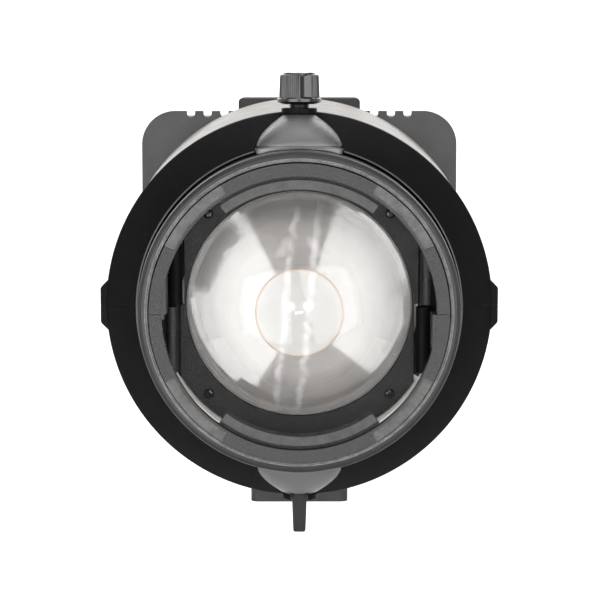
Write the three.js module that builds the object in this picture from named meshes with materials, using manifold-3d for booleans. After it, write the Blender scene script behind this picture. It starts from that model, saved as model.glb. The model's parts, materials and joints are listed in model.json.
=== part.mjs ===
// Studio spotlight head: a clamshell front shell with an accessory mount ring,
// a domed lens over a ribbed cone, a tapered barrel, and a square rear housing
// that holds the heatsink, fan and controls.
//
// Millimetres, +Z up. Inside the "head" group the optical axis is the Y axis,
// y = 0 is the front face of the mount ring and y grows towards the rear.
// The head group is placed so that the origin is the middle of the flat
// underside of the mounting foot.

import * as THREE from 'three';
import { mergeVertices } from 'three/addons/utils/BufferGeometryUtils.js';
import Module from 'manifold-3d';

const wasm = await Module();
wasm.setup();

// ---------------------------------------------------------------- dimensions

const GAP = 0.3;              // clearance between neighbouring solids
const SEG = 48;               // facets round a large ring
const SEG_SMALL = 16;         // facets round a knob or boss
const SEG_SCREW = 8;          // facets round a screw

const AXIS_HEIGHT = 138;      // optical axis above the foot's underside
const FOOT_DEPTH = 140;       // foot's middle behind the mount ring's face

const SHELL = {               // black conical front shell
  frontRadius: 99.8, frontY: 31, rearRadius: 120.6, shoulderY: 50, rearY: 64, wall: 3,
};
const BUMP = { reach: 124.2, halfHeight: 11, taperHeight: 15.5, frontY: 51 };
const BOSS = { y: 52, padRadius: 10.8, padZ: 122.6, footZ: 95, lipRadius: 27.4 };

const RING = {                // bayonet mount ring
  inner: 82.7, outer: 90.6, depth: 20, flat: 80, flatHeight: 24,
  recess: 1.6, recessFrom: 31, recessTo: 63,
  tabInner: 75, tabOuter: 80.6, tabAngle: 36, tabFrontY: 3.5, tabRearY: 16,
};
const SLEEVE = { inner: 91.2, outer: 98, frontY: 5, rearY: 44, flange: 103.4, flangeY: 40 };
const CELL = { inner: 88.2, outer: 93, frontY: 44.3, rearY: 59 };   // wall round the lens
const SEAT = {                // bulkhead that carries the lens and its plate
  ledgeY: 59.3, ledgeOuter: 93, ledgeInner: 75.2, seatY: 62.8, inner: 66,
  outer: 117.2, flangeY: 60, rearY: 63.9,
};
const PLATE = { outer: 87.3, inner: 70.9, frontY: 56.2, rearY: 59, cutNear: 72, cutFar: 74.7, screw: 56.8 };
const PLATE_SCREW = { head: 3.1, headHeight: 1.6, proud: 1.9, shank: 1.5, bore: 1.8, length: 5.4 };
const DOME = { radius: 70.4, baseY: 59.4, apexY: 1, innerRadius: 67.4, innerBaseY: 60.8, innerApexY: 3.5 };
const CONE = { tipRadius: 26.6, tipY: 10.3, baseRadius: 66, baseY: 61.1, wall: 1.6, flange: 74.6 };

const BARREL = { frontY: 64.4, rearY: 240, frontRadius: 119.2, rearRadius: 126, wall: 2.5 };
const REAR_RING = { inner: 78, outer: 125.4, frontY: 240.4, rearY: 243.6 };
const HOUSING = { width: 225, height: 234, corner: 24, frontY: 244, plateY: 248, rearY: 312, wall: 2.6 };
const HOUSING_INSET = { x: 2.4, z: 4.8 };
const NOTCH = { width: 5.8, depth: 4.4, at: [53.5, 65.5, 77.3] };
const TOP_MODULE = { width: 87, height: 13.6, frontY: 249, rearY: 300, corner: 3 };
const SIDE_VENT = { rows: [-60, -40, -20, 0, 20, 40, 60], halfHeight: 2, frontInset: 14, rearInset: 12 };
const COVER = { frontY: 312.3, rearY: 315.3 };
const GRILLE = { slots: 9, firstZ: -39, radius: 44, halfHeight: 2.2 };
const COVER_SCREW = { x: 96, z: 60, shank: 1.6, bore: 1.9, head: 3.2, headHeight: 1.9, length: 6 };

const KNOB = { radius: 12.4, flangeRadius: 13.7, bottomZ: 125, topZ: 144.4 };
const SPINDLE = { radius: 6.4, bottomZ: 97.1, bore: 6.8 };
const CLAMP_FOOT = { radius: 6, bottomZ: 94.4 };
const LEVER = { pivotZ: -110, tipZ: -144.6, topZ: -101, halfThickness: 3, tipRound: 1.8 };
const LEVER_PIN = { radius: 2, bore: 2.3, half: 12 };
const LATCH = {
  halfWidth: 2, footHalfWidth: 2.8, frontY: 7, stemY: 40.6, stemRear: 43.6, footRear: 48.6,
  topZ: -84.6, barZ: -88.6, footTopZ: -98, footZ: -102.2,
};
const COLUMN = { x: 77.7, radius: 5.1, screwX: 79.6, screwRadius: 3.3, y: 47.5, near: 0.4, reach: 42 };

const CARRIAGE = { radius: 104, frontY: 150, thickness: 4 };
const CARRIAGE_WINDOW = { halfWidth: 12, bottomZ: -20, topZ: 60 };
const LED = { spreader: 34, spreaderLength: 20, board: 24, boardFront: 2.6, emitter: 13, emitterFront: 4.4 };
const REFLECTOR = { throat: 16, mouth: 46, wall: 1.5, rear: 3, length: 40 };
const ROD = { x: 84, z: -52, radius: 3, frontY: 62.6 };
const LEAD = { z: -95, radius: 4, bore: 4.4, frontY: 66, rearY: 327 };
const FOCUS_KNOB = { radius: 14, frontY: 316.2, rearY: 331 };

const HEATSINK = { half: 66, baseY: 252, baseRear: 258, finRear: 276, fins: 11, finThickness: 1.8 };
const FAN = {
  half: 46, corner: 5, bore: 43, frontY: 278, rearY: 300, hub: 15, blades: 7,
  spokeHalf: 2, spokeDepth: 2.5, rotorGap: 3.2,
  bladeThickness: 1.6, bladeDepth: 15, bladePitch: 38, tipGap: 4,
};
const DRIVER_BOARD = { x: -100, thickness: 1.6, frontY: 254, rearY: 300, half: 60 };
const CONTROL_BOARD = { half: 80, frontY: 305, thickness: 1.6, bottomZ: 62, topZ: 100 };

const DIMMER = { x: 62, z: 82, radius: 13, height: 13, stem: 3, stemBore: 3.4, stemDepth: 3 };
const ROCKER = { x: 70, z: -82, width: 19, height: 13, rim: 2, bodyFront: 300, floorY: 303 };
const ROCKER_KEY = { halfWidth: 6.6, halfHeight: 4, front: -3.4, rear: 3.6, sunk: 3.2, tilt: 9 };
const INLET = { x: -70, z: -82, width: 27, height: 20, rim: 3, bodyFront: 290, floorY: 298 };
const INLET_PIN = { at: [[-7, 0], [0, 3], [7, 0]], halfWidth: 1, halfHeight: 2, frontY: 296, rearY: 311 };
const BUTTON = { at: [-62, -44], z: 82, radius: 4.5, proud: 2, sunk: 1 };
const SCREEN = { width: 56, height: 30, corner: 2, z: 82, frontInset: 0.6, rearInset: 0.4 };

// ------------------------------------------------------------------ materials

const finish = (color, roughness, metalness) => ({ color, roughness, metalness });
const FINISH = {
  blackShell: finish(0x1c1b1b, 0.45, 0.0),
  castGrey: finish(0x595857, 0.6, 0.3),
  powderBlack: finish(0x232222, 0.65, 0.0),
  lightGrey: finish(0xc9c4bf, 0.5, 0.1),
  housingGrey: finish(0x4c4b4b, 0.55, 0.2),
  glass: finish(0xf2f5f6, 0.05, 0.0),
  satinAluminium: finish(0xb9b4b0, 0.3, 0.9),
  opal: finish(0xf1efec, 0.3, 0.0),
  steel: finish(0x8d8d8d, 0.35, 0.9),
  darkSteel: finish(0x141414, 0.25, 0.6),
  blackPlastic: finish(0x181818, 0.5, 0.0),
  greenBoard: finish(0x1f4a33, 0.6, 0.0),
  phosphor: finish(0xe8cf5a, 0.6, 0.0),
};

// -------------------------------------------------------------------- helpers

/** Closed three.js geometry to a manifold solid, turned right side out. */
function solid(geometry) {
  const bare = geometry.clone();
  bare.deleteAttribute('normal');
  bare.deleteAttribute('uv');
  const merged = mergeVertices(bare, 1e-4);
  const vertProperties = new Float32Array(merged.attributes.position.array);
  const triVerts = new Uint32Array(merged.index.array);
  if (signedVolume(vertProperties, triVerts) < 0) {
    for (let i = 0; i < triVerts.length; i += 3) {
      [triVerts[i], triVerts[i + 1]] = [triVerts[i + 1], triVerts[i]];
    }
  }
  return new wasm.Manifold(new wasm.Mesh({ numProp: 3, vertProperties, triVerts }));
}

/** Six times the volume enclosed by an indexed mesh; negative when inside out. */
function signedVolume(points, triangles) {
  const a = new THREE.Vector3();
  const b = new THREE.Vector3();
  const c = new THREE.Vector3();
  let total = 0;
  for (let i = 0; i < triangles.length; i += 3) {
    a.fromArray(points, triangles[i] * 3);
    b.fromArray(points, triangles[i + 1] * 3);
    c.fromArray(points, triangles[i + 2] * 3);
    total += a.dot(b.cross(c));
  }
  return total;
}

/** Manifold solid back to a three.js geometry. */
function geometryOf(body) {
  const mesh = body.getMesh();
  const geometry = new THREE.BufferGeometry();
  geometry.setAttribute('position', new THREE.BufferAttribute(mesh.vertProperties, 3));
  geometry.setIndex(new THREE.BufferAttribute(mesh.triVerts, 1));
  geometry.computeVertexNormals();
  return geometry;
}

/** Box from its lowest to its highest corner. */
function box(low, high) {
  const size = high.map((value, i) => value - low[i]);
  const geometry = new THREE.BoxGeometry(...size);
  geometry.translate(...low.map((value, i) => value + size[i] / 2));
  return solid(geometry);
}

/** Solid of revolution about the optical axis; points are [radius, y]. */
function turnY(points, segments = SEG) {
  const closed = closeProfile(points).map(([r, y]) => new THREE.Vector2(r, y));
  return solid(new THREE.LatheGeometry(closed, segments));
}

/** Solid of revolution about a vertical line; points are [radius, z]. */
function turnZ(points, x, y, segments = SEG_SMALL) {
  const closed = closeProfile(points).map(([r, z]) => new THREE.Vector2(r, z));
  const geometry = new THREE.LatheGeometry(closed, segments);
  geometry.rotateX(Math.PI / 2);
  geometry.translate(x, y, 0);
  return solid(geometry);
}

/** A profile that doesn't run from axis to axis is closed on its first point. */
function closeProfile(points) {
  const onAxis = points[0][0] === 0 && points.at(-1)[0] === 0;
  return onAxis ? points : [...points, points[0]];
}

/** Cylinder along Y from y0 to y1 at (x, z). */
function rodY(radius, y0, y1, x = 0, z = 0, segments = SEG_SMALL) {
  const geometry = new THREE.CylinderGeometry(radius, radius, y1 - y0, segments);
  geometry.translate(x, (y0 + y1) / 2, z);
  return solid(geometry);
}

/** Cylinder along Z from z0 to z1 at (x, y). */
function rodZ(radius, z0, z1, x, y, segments = SEG_SMALL) {
  const geometry = new THREE.CylinderGeometry(radius, radius, z1 - z0, segments);
  geometry.rotateX(Math.PI / 2);
  geometry.translate(x, y, (z0 + z1) / 2);
  return solid(geometry);
}

/** Cylinder along X from x0 to x1 at (y, z). */
function rodX(radius, x0, x1, y, z, segments = SEG_SMALL) {
  const geometry = new THREE.CylinderGeometry(radius, radius, x1 - x0, segments);
  geometry.rotateZ(Math.PI / 2);
  geometry.translate((x0 + x1) / 2, y, z);
  return solid(geometry);
}

/** Plate whose outline lies in the x-z plane, from y0 to y1. */
function plateY(outline, y0, y1, curveSegments = 6) {
  const options = { depth: y1 - y0, bevelEnabled: false, curveSegments };
  const geometry = new THREE.ExtrudeGeometry(outline, options);
  geometry.rotateX(Math.PI / 2);
  geometry.translate(0, y1, 0);
  return solid(geometry);
}

/** Outline through straight-line corners. */
function polygon(points) {
  return new THREE.Shape(points.map(([x, z]) => new THREE.Vector2(x, z)));
}

/** Rounded rectangle outline about (x, z). */
function roundedRect(width, height, radius, x = 0, z = 0) {
  const left = x - width / 2;
  const right = x + width / 2;
  const low = z - height / 2;
  const high = z + height / 2;
  const shape = new THREE.Shape();
  shape.moveTo(left + radius, low);
  shape.lineTo(right - radius, low);
  shape.absarc(right - radius, low + radius, radius, -Math.PI / 2, 0, false);
  shape.lineTo(right, high - radius);
  shape.absarc(right - radius, high - radius, radius, 0, Math.PI / 2, false);
  shape.lineTo(left + radius, high);
  shape.absarc(left + radius, high - radius, radius, Math.PI / 2, Math.PI, false);
  shape.lineTo(left, low + radius);
  shape.absarc(left + radius, low + radius, radius, Math.PI, Math.PI * 1.5, false);
  return shape;
}

/** Wedge of a ring about the optical axis; angles in degrees from +X towards +Z. */
function arcBlock(inner, outer, fromDeg, toDeg, y0, y1) {
  const from = THREE.MathUtils.degToRad(fromDeg);
  const to = THREE.MathUtils.degToRad(toDeg);
  const shape = new THREE.Shape();
  shape.absarc(0, 0, outer, from, to, false);
  shape.absarc(0, 0, inner, to, from, true);
  const steps = Math.max(4, Math.round((toDeg - fromDeg) / 5));
  return plateY(shape, y0, y1, steps);
}

const head = new THREE.Group();
head.position.set(0, -FOOT_DEPTH, AXIS_HEIGHT);

/** Adds one named sub-part to the head, or to a group inside it. */
function part(name, body, look, parent = head) {
  const mesh = new THREE.Mesh(geometryOf(body), new THREE.MeshStandardMaterial(FINISH[look]));
  mesh.name = name;
  parent.add(mesh);
  return mesh;
}

/** Upper (side = 1) or lower (side = -1) half of a body split at the axis. */
function halfOf(body, side) {
  const far = 200;
  const near = GAP / 2;
  const low = side > 0 ? near : -far;
  const high = side > 0 ? far : -near;
  return body.intersect(box([-far, -far, low], [far, far, high]));
}

const bothSides = [['left', -1], ['right', 1]];
const corners = [
  [-1, 1, 'upper_left'],
  [1, 1, 'upper_right'],
  [-1, -1, 'lower_left'],
  [1, -1, 'lower_right'],
];

// ---------------------------------------------------------------- front shell

function conicalShell() {
  const { frontRadius, frontY, rearRadius, shoulderY, rearY, wall } = SHELL;
  return turnY([
    [frontRadius, frontY],
    [rearRadius, shoulderY],
    [rearRadius, rearY],
    [rearRadius - wall, rearY],
    [rearRadius - wall, shoulderY + wall / 2],
    [frontRadius - wall / 3, frontY + wall],
  ]);
}

/** Bell-shaped boss that stands on the cone, turned about a vertical axis. */
function bellBoss(side) {
  const { y, padRadius, padZ, footZ, lipRadius } = BOSS;
  const profile = [
    [0, footZ],
    [lipRadius, footZ],
    [lipRadius, footZ + 2.2],
    [lipRadius - 1.8, footZ + 2.8],
    [lipRadius - 2.2, footZ + 4.5],
    [lipRadius - 4.6, footZ + 9.6],
    [lipRadius - 7.6, footZ + 14.6],
    [lipRadius - 11.9, footZ + 19.4],
    [padRadius, padZ - 4],
    [padRadius, padZ],
    [0, padZ],
  ].map(([r, z]) => [r, z * side]);
  const far = 60;
  const keep = box([-far, 0, -AXIS_HEIGHT], [far, SHELL.rearY, AXIS_HEIGHT]);
  const clearOfCell = turnY([[0, 0], [CELL.outer + 1, 0], [CELL.outer + 1, 80], [0, 80]]);
  const clearOfSleeve = turnY([
    [0, 0], [SLEEVE.outer + GAP, 0],
    [SLEEVE.outer + GAP, SLEEVE.flangeY - 2.6], [SLEEVE.flange + GAP, SLEEVE.flangeY - 2.6],
    [SLEEVE.flange + GAP, SLEEVE.rearY + GAP], [0, SLEEVE.rearY + GAP],
  ]);
  const clearOfBulkhead = turnY([
    [0, SEAT.flangeY - GAP], [SHELL.rearRadius - SHELL.wall, SEAT.flangeY - GAP],
    [SHELL.rearRadius - SHELL.wall, 80], [0, 80],
  ]);
  return turnZ(profile, 0, y, SEG_SMALL * 2)
    .intersect(keep)
    .subtract(clearOfCell)
    .subtract(clearOfSleeve)
    .subtract(clearOfBulkhead);
}

/** Square-shouldered swelling on each side that houses the clamping screws. */
function sideBump(side) {
  const { reach, halfHeight, taperHeight, frontY } = BUMP;
  const root = SHELL.rearRadius - SHELL.wall + 0.4;
  const outline = polygon([
    [root * side, -taperHeight],
    [(SHELL.rearRadius - 1) * side, -taperHeight],
    [reach * side, -halfHeight],
    [reach * side, halfHeight],
    [(SHELL.rearRadius - 1) * side, taperHeight],
    [root * side, taperHeight],
  ]);
  return plateY(outline, frontY, SHELL.rearY);
}

const shell = conicalShell()
  .add(bellBoss(1))
  .add(bellBoss(-1))
  .add(sideBump(1))
  .add(sideBump(-1));
const spindleBore = rodZ(SPINDLE.bore, BOSS.footZ - 3, BOSS.padZ + 2, 0, BOSS.y);
const leverSlot = box([-5.3, 40.2, -BOSS.padZ - 2], [5.3, 60.4, -BOSS.footZ + 3]);
const pinReach = LEVER_PIN.half + 0.4;
const leverPinBore = rodX(LEVER_PIN.bore, -pinReach, pinReach, BOSS.y, LEVER.pivotZ, SEG_SCREW);

part('front_shell_upper', halfOf(shell, 1).subtract(spindleBore), 'blackShell');
part('front_shell_lower', halfOf(shell, -1).subtract(leverSlot).subtract(leverPinBore), 'blackShell');

// ----------------------------------------------------------------- mount ring

function mountRing() {
  const { inner, outer, depth, flat, flatHeight, recess, recessFrom, recessTo } = RING;
  const { tabInner, tabOuter, tabAngle, tabFrontY, tabRearY } = RING;
  let ring = turnY([[inner, 0], [outer, 0], [outer, depth], [inner, depth]]);
  for (const quadrant of [90 - recessTo, 90 + recessFrom, 270 - recessTo, 270 + recessFrom]) {
    const span = recessTo - recessFrom;
    ring = ring.subtract(arcBlock(inner + 1.6, outer + 1, quadrant, quadrant + span, -1, recess));
  }
  for (const middle of [90, 270]) {
    const from = middle - tabAngle;
    const to = middle + tabAngle;
    const tab = arcBlock(tabInner, tabOuter, from, to, tabFrontY, tabRearY);
    const web = arcBlock(tabOuter - 0.5, inner + 1, from, to, tabFrontY + 3, tabRearY);
    ring = ring.add(tab).add(web);
  }
  const insideRing = rodY(inner + 0.5, 0, depth, 0, 0, SEG);
  for (const side of [-1, 1]) {
    const low = side < 0 ? 0 : -flatHeight;
    const high = side < 0 ? flatHeight : 0;
    const near = Math.min(flat * side, (inner + 2) * side);
    const far = Math.max(flat * side, (inner + 2) * side);
    ring = ring.add(box([near, 0, low], [far, depth, high]).intersect(insideRing));
  }
  return ring;
}

const ring = mountRing();
const latchBore = box([-2.4, 5, -89.2], [2.4, RING.depth + 1, -84.2]);
part('mount_ring_upper', halfOf(ring, 1), 'castGrey');
part('mount_ring_lower', halfOf(ring, -1).subtract(latchBore), 'castGrey');

// --------------------------------------------------------------- mount sleeve

const latchWay = box([-3.8, 30, -105], [3.8, 53, -83.6]);
const sleeve = turnY([
  [SLEEVE.inner, SLEEVE.frontY],
  [SLEEVE.outer - 2.4, SLEEVE.frontY],
  [SLEEVE.outer - 0.6, SLEEVE.frontY + 1],
  [SLEEVE.outer, SLEEVE.frontY + 3],
  [SLEEVE.outer, SLEEVE.flangeY - 2.2],
  [SLEEVE.flange, SLEEVE.flangeY],
  [SLEEVE.flange, SLEEVE.rearY],
  [SLEEVE.inner, SLEEVE.rearY],
]).subtract(latchWay);
part('mount_sleeve', sleeve, 'castGrey');

// ----------------------------------------------------- lens cell, plate, lens

const plateScrewBores = corners.map(([sx, sz]) => rodY(
  PLATE_SCREW.bore, PLATE.frontY - 1, SEAT.rearY + 1, PLATE.screw * sx, PLATE.screw * sz, SEG_SCREW,
));
const rodSockets = bothSides.map(([, side]) => rodY(
  ROD.radius + 0.1, ROD.frontY - 0.4, SEAT.rearY + 1, ROD.x * side, ROD.z,
));

/** A body with each of the given bodies cut away. */
function cutAll(body, tools) {
  return tools.reduce((left, tool) => left.subtract(tool), body);
}

const cellWall = turnY([
  [CELL.inner, CELL.frontY],
  [CELL.outer, CELL.frontY],
  [CELL.outer, CELL.rearY],
  [CELL.inner, CELL.rearY],
]);
part('lens_cell', cellWall.subtract(latchWay), 'lightGrey');

const seat = turnY([
  [SEAT.ledgeInner, SEAT.ledgeY],
  [SEAT.ledgeOuter, SEAT.ledgeY],
  [SEAT.ledgeOuter, SEAT.flangeY],
  [SEAT.outer, SEAT.flangeY],
  [SEAT.outer, SEAT.rearY],
  [SEAT.inner, SEAT.rearY],
  [SEAT.inner, SEAT.seatY],
  [SEAT.ledgeInner, SEAT.seatY],
]);
part('lens_seat', cutAll(seat, [...plateScrewBores, ...rodSockets]), 'lightGrey');

/** Screw of the retainer plate: head towards the front, shank behind it. */
function panScrew(x, z) {
  const { head: headRadius, headHeight, proud, shank, length } = PLATE_SCREW;
  const y = PLATE.frontY - proud;
  return rodY(headRadius, y, y + headHeight, x, z, SEG_SCREW)
    .add(rodY(shank, y + headHeight / 2, y + headHeight + length, x, z, SEG_SCREW));
}

function retainerPlate() {
  const { outer, inner, frontY, rearY, cutNear, cutFar } = PLATE;
  let plate = turnY([[inner, frontY], [outer, frontY], [outer, rearY], [inner, rearY]]);
  const cut = (x0, x1, z0, z1) => box([x0, frontY - 1, z0], [x1, rearY + 1, z1]);
  const edge = outer + 5;
  plate = plate
    .subtract(cut(-edge, -cutNear, 0, edge))
    .subtract(cut(-edge, -cutFar, -edge, 0))
    .subtract(cut(cutFar, edge, 0, edge))
    .subtract(cut(cutNear, edge, -edge, 0));
  return cutAll(plate, plateScrewBores);
}
part('lens_retainer_plate', retainerPlate(), 'powderBlack');

for (const [sx, sz, where] of corners) {
  part(`plate_screw_${where}`, panScrew(PLATE.screw * sx, PLATE.screw * sz), 'darkSteel');
}

/** Points down an ellipse from the axis to the rim: [radius, y]. */
function domeCurve(radius, baseY, apexY, steps) {
  const points = [];
  for (let i = 0; i < steps; i += 1) {
    const angle = (Math.PI / 2) * (i / steps);
    points.push([radius * Math.sin(angle), baseY - (baseY - apexY) * Math.cos(angle)]);
  }
  return points;
}

const domeSteps = 6;
const lens = turnY([
  ...domeCurve(DOME.radius, DOME.baseY, DOME.apexY, domeSteps),
  [DOME.radius, DOME.baseY],
  [CONE.flange, DOME.baseY],
  [CONE.flange, DOME.innerBaseY],
  [DOME.innerRadius, DOME.innerBaseY],
  ...domeCurve(DOME.innerRadius, DOME.innerBaseY, DOME.innerApexY, domeSteps).reverse(),
], 36);
part('lens_dome', lens, 'glass');

const cone = turnY([
  [CONE.tipRadius, CONE.tipY],
  [CONE.baseRadius, CONE.baseY],
  [CONE.flange, CONE.baseY],
  [CONE.flange, CONE.baseY + 1.3],
  [CONE.baseRadius - CONE.wall, CONE.baseY + 1.3],
  [CONE.tipRadius - CONE.wall, CONE.tipY + 1.3],
  [CONE.tipRadius - CONE.wall, CONE.tipY],
], 36);
part('fresnel_cone', cone, 'satinAluminium');

const disc = turnY([
  [0, CONE.tipY - 1.6],
  [CONE.tipRadius - 6, CONE.tipY - 1.2],
  [CONE.tipRadius - 0.2, CONE.tipY - 0.6],
  [CONE.tipRadius - 0.2, CONE.tipY - GAP],
  [0, CONE.tipY - GAP],
], 36);
part('diffuser_disc', disc, 'opal');

// -------------------------------------------- columns that clamp the two halves

/** Anything inside the sleeve's bore, with a little clearance. */
const sleeveBore = rodY(SLEEVE.inner - GAP, 20.5, CELL.frontY - GAP, 0, 0, SEG)
  .add(rodY(CELL.inner - GAP, CELL.frontY - 1, PLATE.frontY - GAP, 0, 0, SEG));

/** Upright rod beside the plate, above the axis (up = 1) or below it (up = -1). */
function upright(radius, x, up) {
  const from = Math.min(COLUMN.near * up, COLUMN.reach * up);
  const to = Math.max(COLUMN.near * up, COLUMN.reach * up);
  return rodZ(radius, from, to, x, COLUMN.y).intersect(sleeveBore);
}

for (const [name, side] of bothSides) {
  part(`clamp_column_${name}`, upright(COLUMN.radius, COLUMN.x * side, -side), 'blackShell');
  part(`clamp_screw_${name}`, upright(COLUMN.screwRadius, COLUMN.screwX * side, side), 'castGrey');
}

// --------------------------------------------------------------------- barrel

const barrelProfile = (grow) => [
  [BARREL.frontRadius + grow, BARREL.frontY - grow],
  [BARREL.rearRadius + grow, BARREL.rearY + grow],
];
const barrel = turnY([
  ...barrelProfile(0),
  [BARREL.rearRadius - BARREL.wall, BARREL.rearY],
  [BARREL.frontRadius - BARREL.wall, BARREL.frontY],
]);
part('barrel', barrel, 'lightGrey');

const leadBore = rodY(LEAD.bore, REAR_RING.frontY - 1, COVER.rearY + 1, 0, LEAD.z, SEG_SCREW);
const rearRing = turnY([
  [REAR_RING.inner, REAR_RING.frontY],
  [REAR_RING.outer, REAR_RING.frontY],
  [REAR_RING.outer, REAR_RING.rearY],
  [REAR_RING.inner, REAR_RING.rearY],
]);
part('barrel_rear_ring', rearRing.subtract(leadBore), 'castGrey');

// ------------------------------------------------------------- mounting foot

const footHalf = { x: 32, y: 30 };
const footTop = -100;
const barrelSpace = turnY([[0, 0], ...barrelProfile(GAP), [0, BARREL.rearY]]);
const foot = box(
  [-footHalf.x, FOOT_DEPTH - footHalf.y, -AXIS_HEIGHT],
  [footHalf.x, FOOT_DEPTH + footHalf.y, footTop],
).subtract(barrelSpace);
part('mounting_foot', foot, 'powderBlack');

// ---------------------------------------------------------------- rear housing

function frontPlate() {
  const outline = roundedRect(HOUSING.width, HOUSING.height, HOUSING.corner);
  let plate = plateY(outline, HOUSING.frontY, HOUSING.plateY);
  plate = plate.subtract(rodY(REAR_RING.inner, HOUSING.frontY - 1, HOUSING.plateY + 1, 0, 0, SEG));
  const top = HOUSING.height / 2;
  for (const x of NOTCH.at.flatMap((at) => [at, -at])) {
    const floor = top - NOTCH.depth + NOTCH.width / 2;
    const round = rodY(NOTCH.width / 2, HOUSING.frontY - 1, HOUSING.plateY + 1, x, floor, SEG_SCREW);
    const slot = box(
      [x - NOTCH.width / 2, HOUSING.frontY - 1, floor],
      [x + NOTCH.width / 2, HOUSING.plateY + 1, top + 1],
    );
    plate = plate.subtract(round.add(slot));
  }
  return plate.subtract(leadBore);
}
part('housing_front_plate', frontPlate(), 'housingGrey');

const boxWidth = HOUSING.width - 2 * HOUSING_INSET.x;
const boxHeight = HOUSING.height - 2 * HOUSING_INSET.z;
function housingBox() {
  const { wall, plateY: front, rearY, corner } = HOUSING;
  const outer = plateY(roundedRect(boxWidth, boxHeight, corner - 2), front + GAP, rearY);
  const inner = plateY(
    roundedRect(boxWidth - 2 * wall, boxHeight - 2 * wall, corner - 2 - wall), front - 1, rearY + 1,
  );
  let body = outer.subtract(inner);
  const { rows, halfHeight, frontInset, rearInset } = SIDE_VENT;
  for (const z of rows) {
    body = body.subtract(box(
      [-boxWidth, front + frontInset, z - halfHeight],
      [boxWidth, rearY - rearInset, z + halfHeight],
    ));
  }
  return body;
}
part('rear_housing', housingBox(), 'housingGrey');

const topModuleZ = boxHeight / 2 + GAP + TOP_MODULE.height / 2;
const topModule = plateY(
  roundedRect(TOP_MODULE.width, TOP_MODULE.height, TOP_MODULE.corner, 0, topModuleZ),
  TOP_MODULE.frontY,
  TOP_MODULE.rearY,
);
part('top_module', topModule, 'housingGrey');

// ------------------------------------------------- heatsink, fan, electronics

function heatsink() {
  const { half, baseY, baseRear, finRear, fins, finThickness } = HEATSINK;
  let body = box([-half, baseY, -half], [half, baseRear, half]);
  for (let i = 0; i < fins; i += 1) {
    const x = -half + finThickness / 2 + (i * (2 * half - finThickness)) / (fins - 1);
    body = body.add(box([x - finThickness / 2, baseRear - 1, -half], [x + finThickness / 2, finRear, half]));
  }
  return body;
}
part('heatsink', heatsink(), 'satinAluminium');

function fanFrame() {
  const { half, corner, bore, frontY, rearY, hub, spokeHalf, spokeDepth } = FAN;
  const spokeRear = frontY + spokeDepth;
  return plateY(roundedRect(2 * half, 2 * half, corner), frontY, rearY)
    .subtract(rodY(bore, frontY - 1, rearY + 1, 0, 0, 36))
    .add(box([-bore - 1, frontY, -spokeHalf], [bore + 1, spokeRear, spokeHalf]))
    .add(box([-spokeHalf, frontY, -bore - 1], [spokeHalf, spokeRear, bore + 1]))
    .add(rodY(hub, frontY, spokeRear));
}
part('fan_frame', fanFrame(), 'blackPlastic');

function fanRotor() {
  const { hub, bore, rearY, blades, bladeThickness, bladeDepth, bladePitch, tipGap } = FAN;
  const front = FAN.frontY + FAN.rotorGap;
  const tip = bore - tipGap;
  const root = hub - 4;
  let rotor = rodY(hub, front, rearY - 1);
  for (let i = 0; i < blades; i += 1) {
    const blade = new THREE.BoxGeometry(tip - root, bladeThickness, bladeDepth);
    blade.rotateX(THREE.MathUtils.degToRad(bladePitch));
    blade.translate((root + tip) / 2, (front + rearY) / 2, 0);
    blade.rotateY((i * 2 * Math.PI) / blades);
    rotor = rotor.add(solid(blade));
  }
  return rotor;
}
part('fan_rotor', fanRotor(), 'blackPlastic');

const driverBoard = box(
  [DRIVER_BOARD.x, DRIVER_BOARD.frontY, -DRIVER_BOARD.half],
  [DRIVER_BOARD.x + DRIVER_BOARD.thickness, DRIVER_BOARD.rearY, DRIVER_BOARD.half],
);
part('driver_board', driverBoard, 'greenBoard');
const controlBoard = box(
  [-CONTROL_BOARD.half, CONTROL_BOARD.frontY, CONTROL_BOARD.bottomZ],
  [CONTROL_BOARD.half, CONTROL_BOARD.frontY + CONTROL_BOARD.thickness, CONTROL_BOARD.topZ],
);
part('control_board', controlBoard, 'greenBoard');

// ------------------------------------------------- focus carriage and its drive

const carriageRear = CARRIAGE.frontY + CARRIAGE.thickness;
const carriageBore = (radius, x, z) => rodY(
  radius, CARRIAGE.frontY - 1, carriageRear + 1, x, z, SEG_SMALL,
);
const carriageWindow = (side) => box(
  [ROD.x * side - CARRIAGE_WINDOW.halfWidth, CARRIAGE.frontY - 1, CARRIAGE_WINDOW.bottomZ],
  [ROD.x * side + CARRIAGE_WINDOW.halfWidth, carriageRear + 1, CARRIAGE_WINDOW.topZ],
);
const carriage = cutAll(rodY(CARRIAGE.radius, CARRIAGE.frontY, carriageRear, 0, 0, SEG), [
  carriageBore(ROD.radius + 0.4, -ROD.x, ROD.z),
  carriageBore(ROD.radius + 0.4, ROD.x, ROD.z),
  carriageBore(LEAD.bore, 0, LEAD.z),
  carriageWindow(-1),
  carriageWindow(1),
]);
part('focus_carriage', carriage, 'satinAluminium');

const ledFront = CARRIAGE.frontY - GAP;
const boardFront = CARRIAGE.frontY - LED.boardFront;
const emitterFront = CARRIAGE.frontY - LED.emitterFront;
const spreaderFront = carriageRear + GAP;
const spreader = rodY(LED.spreader, spreaderFront, spreaderFront + LED.spreaderLength);
part('led_heat_spreader', spreader, 'satinAluminium');
part('led_board', rodY(LED.board, boardFront, ledFront), 'opal');
part('led_emitter', rodY(LED.emitter, emitterFront, boardFront - GAP), 'phosphor');

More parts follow.
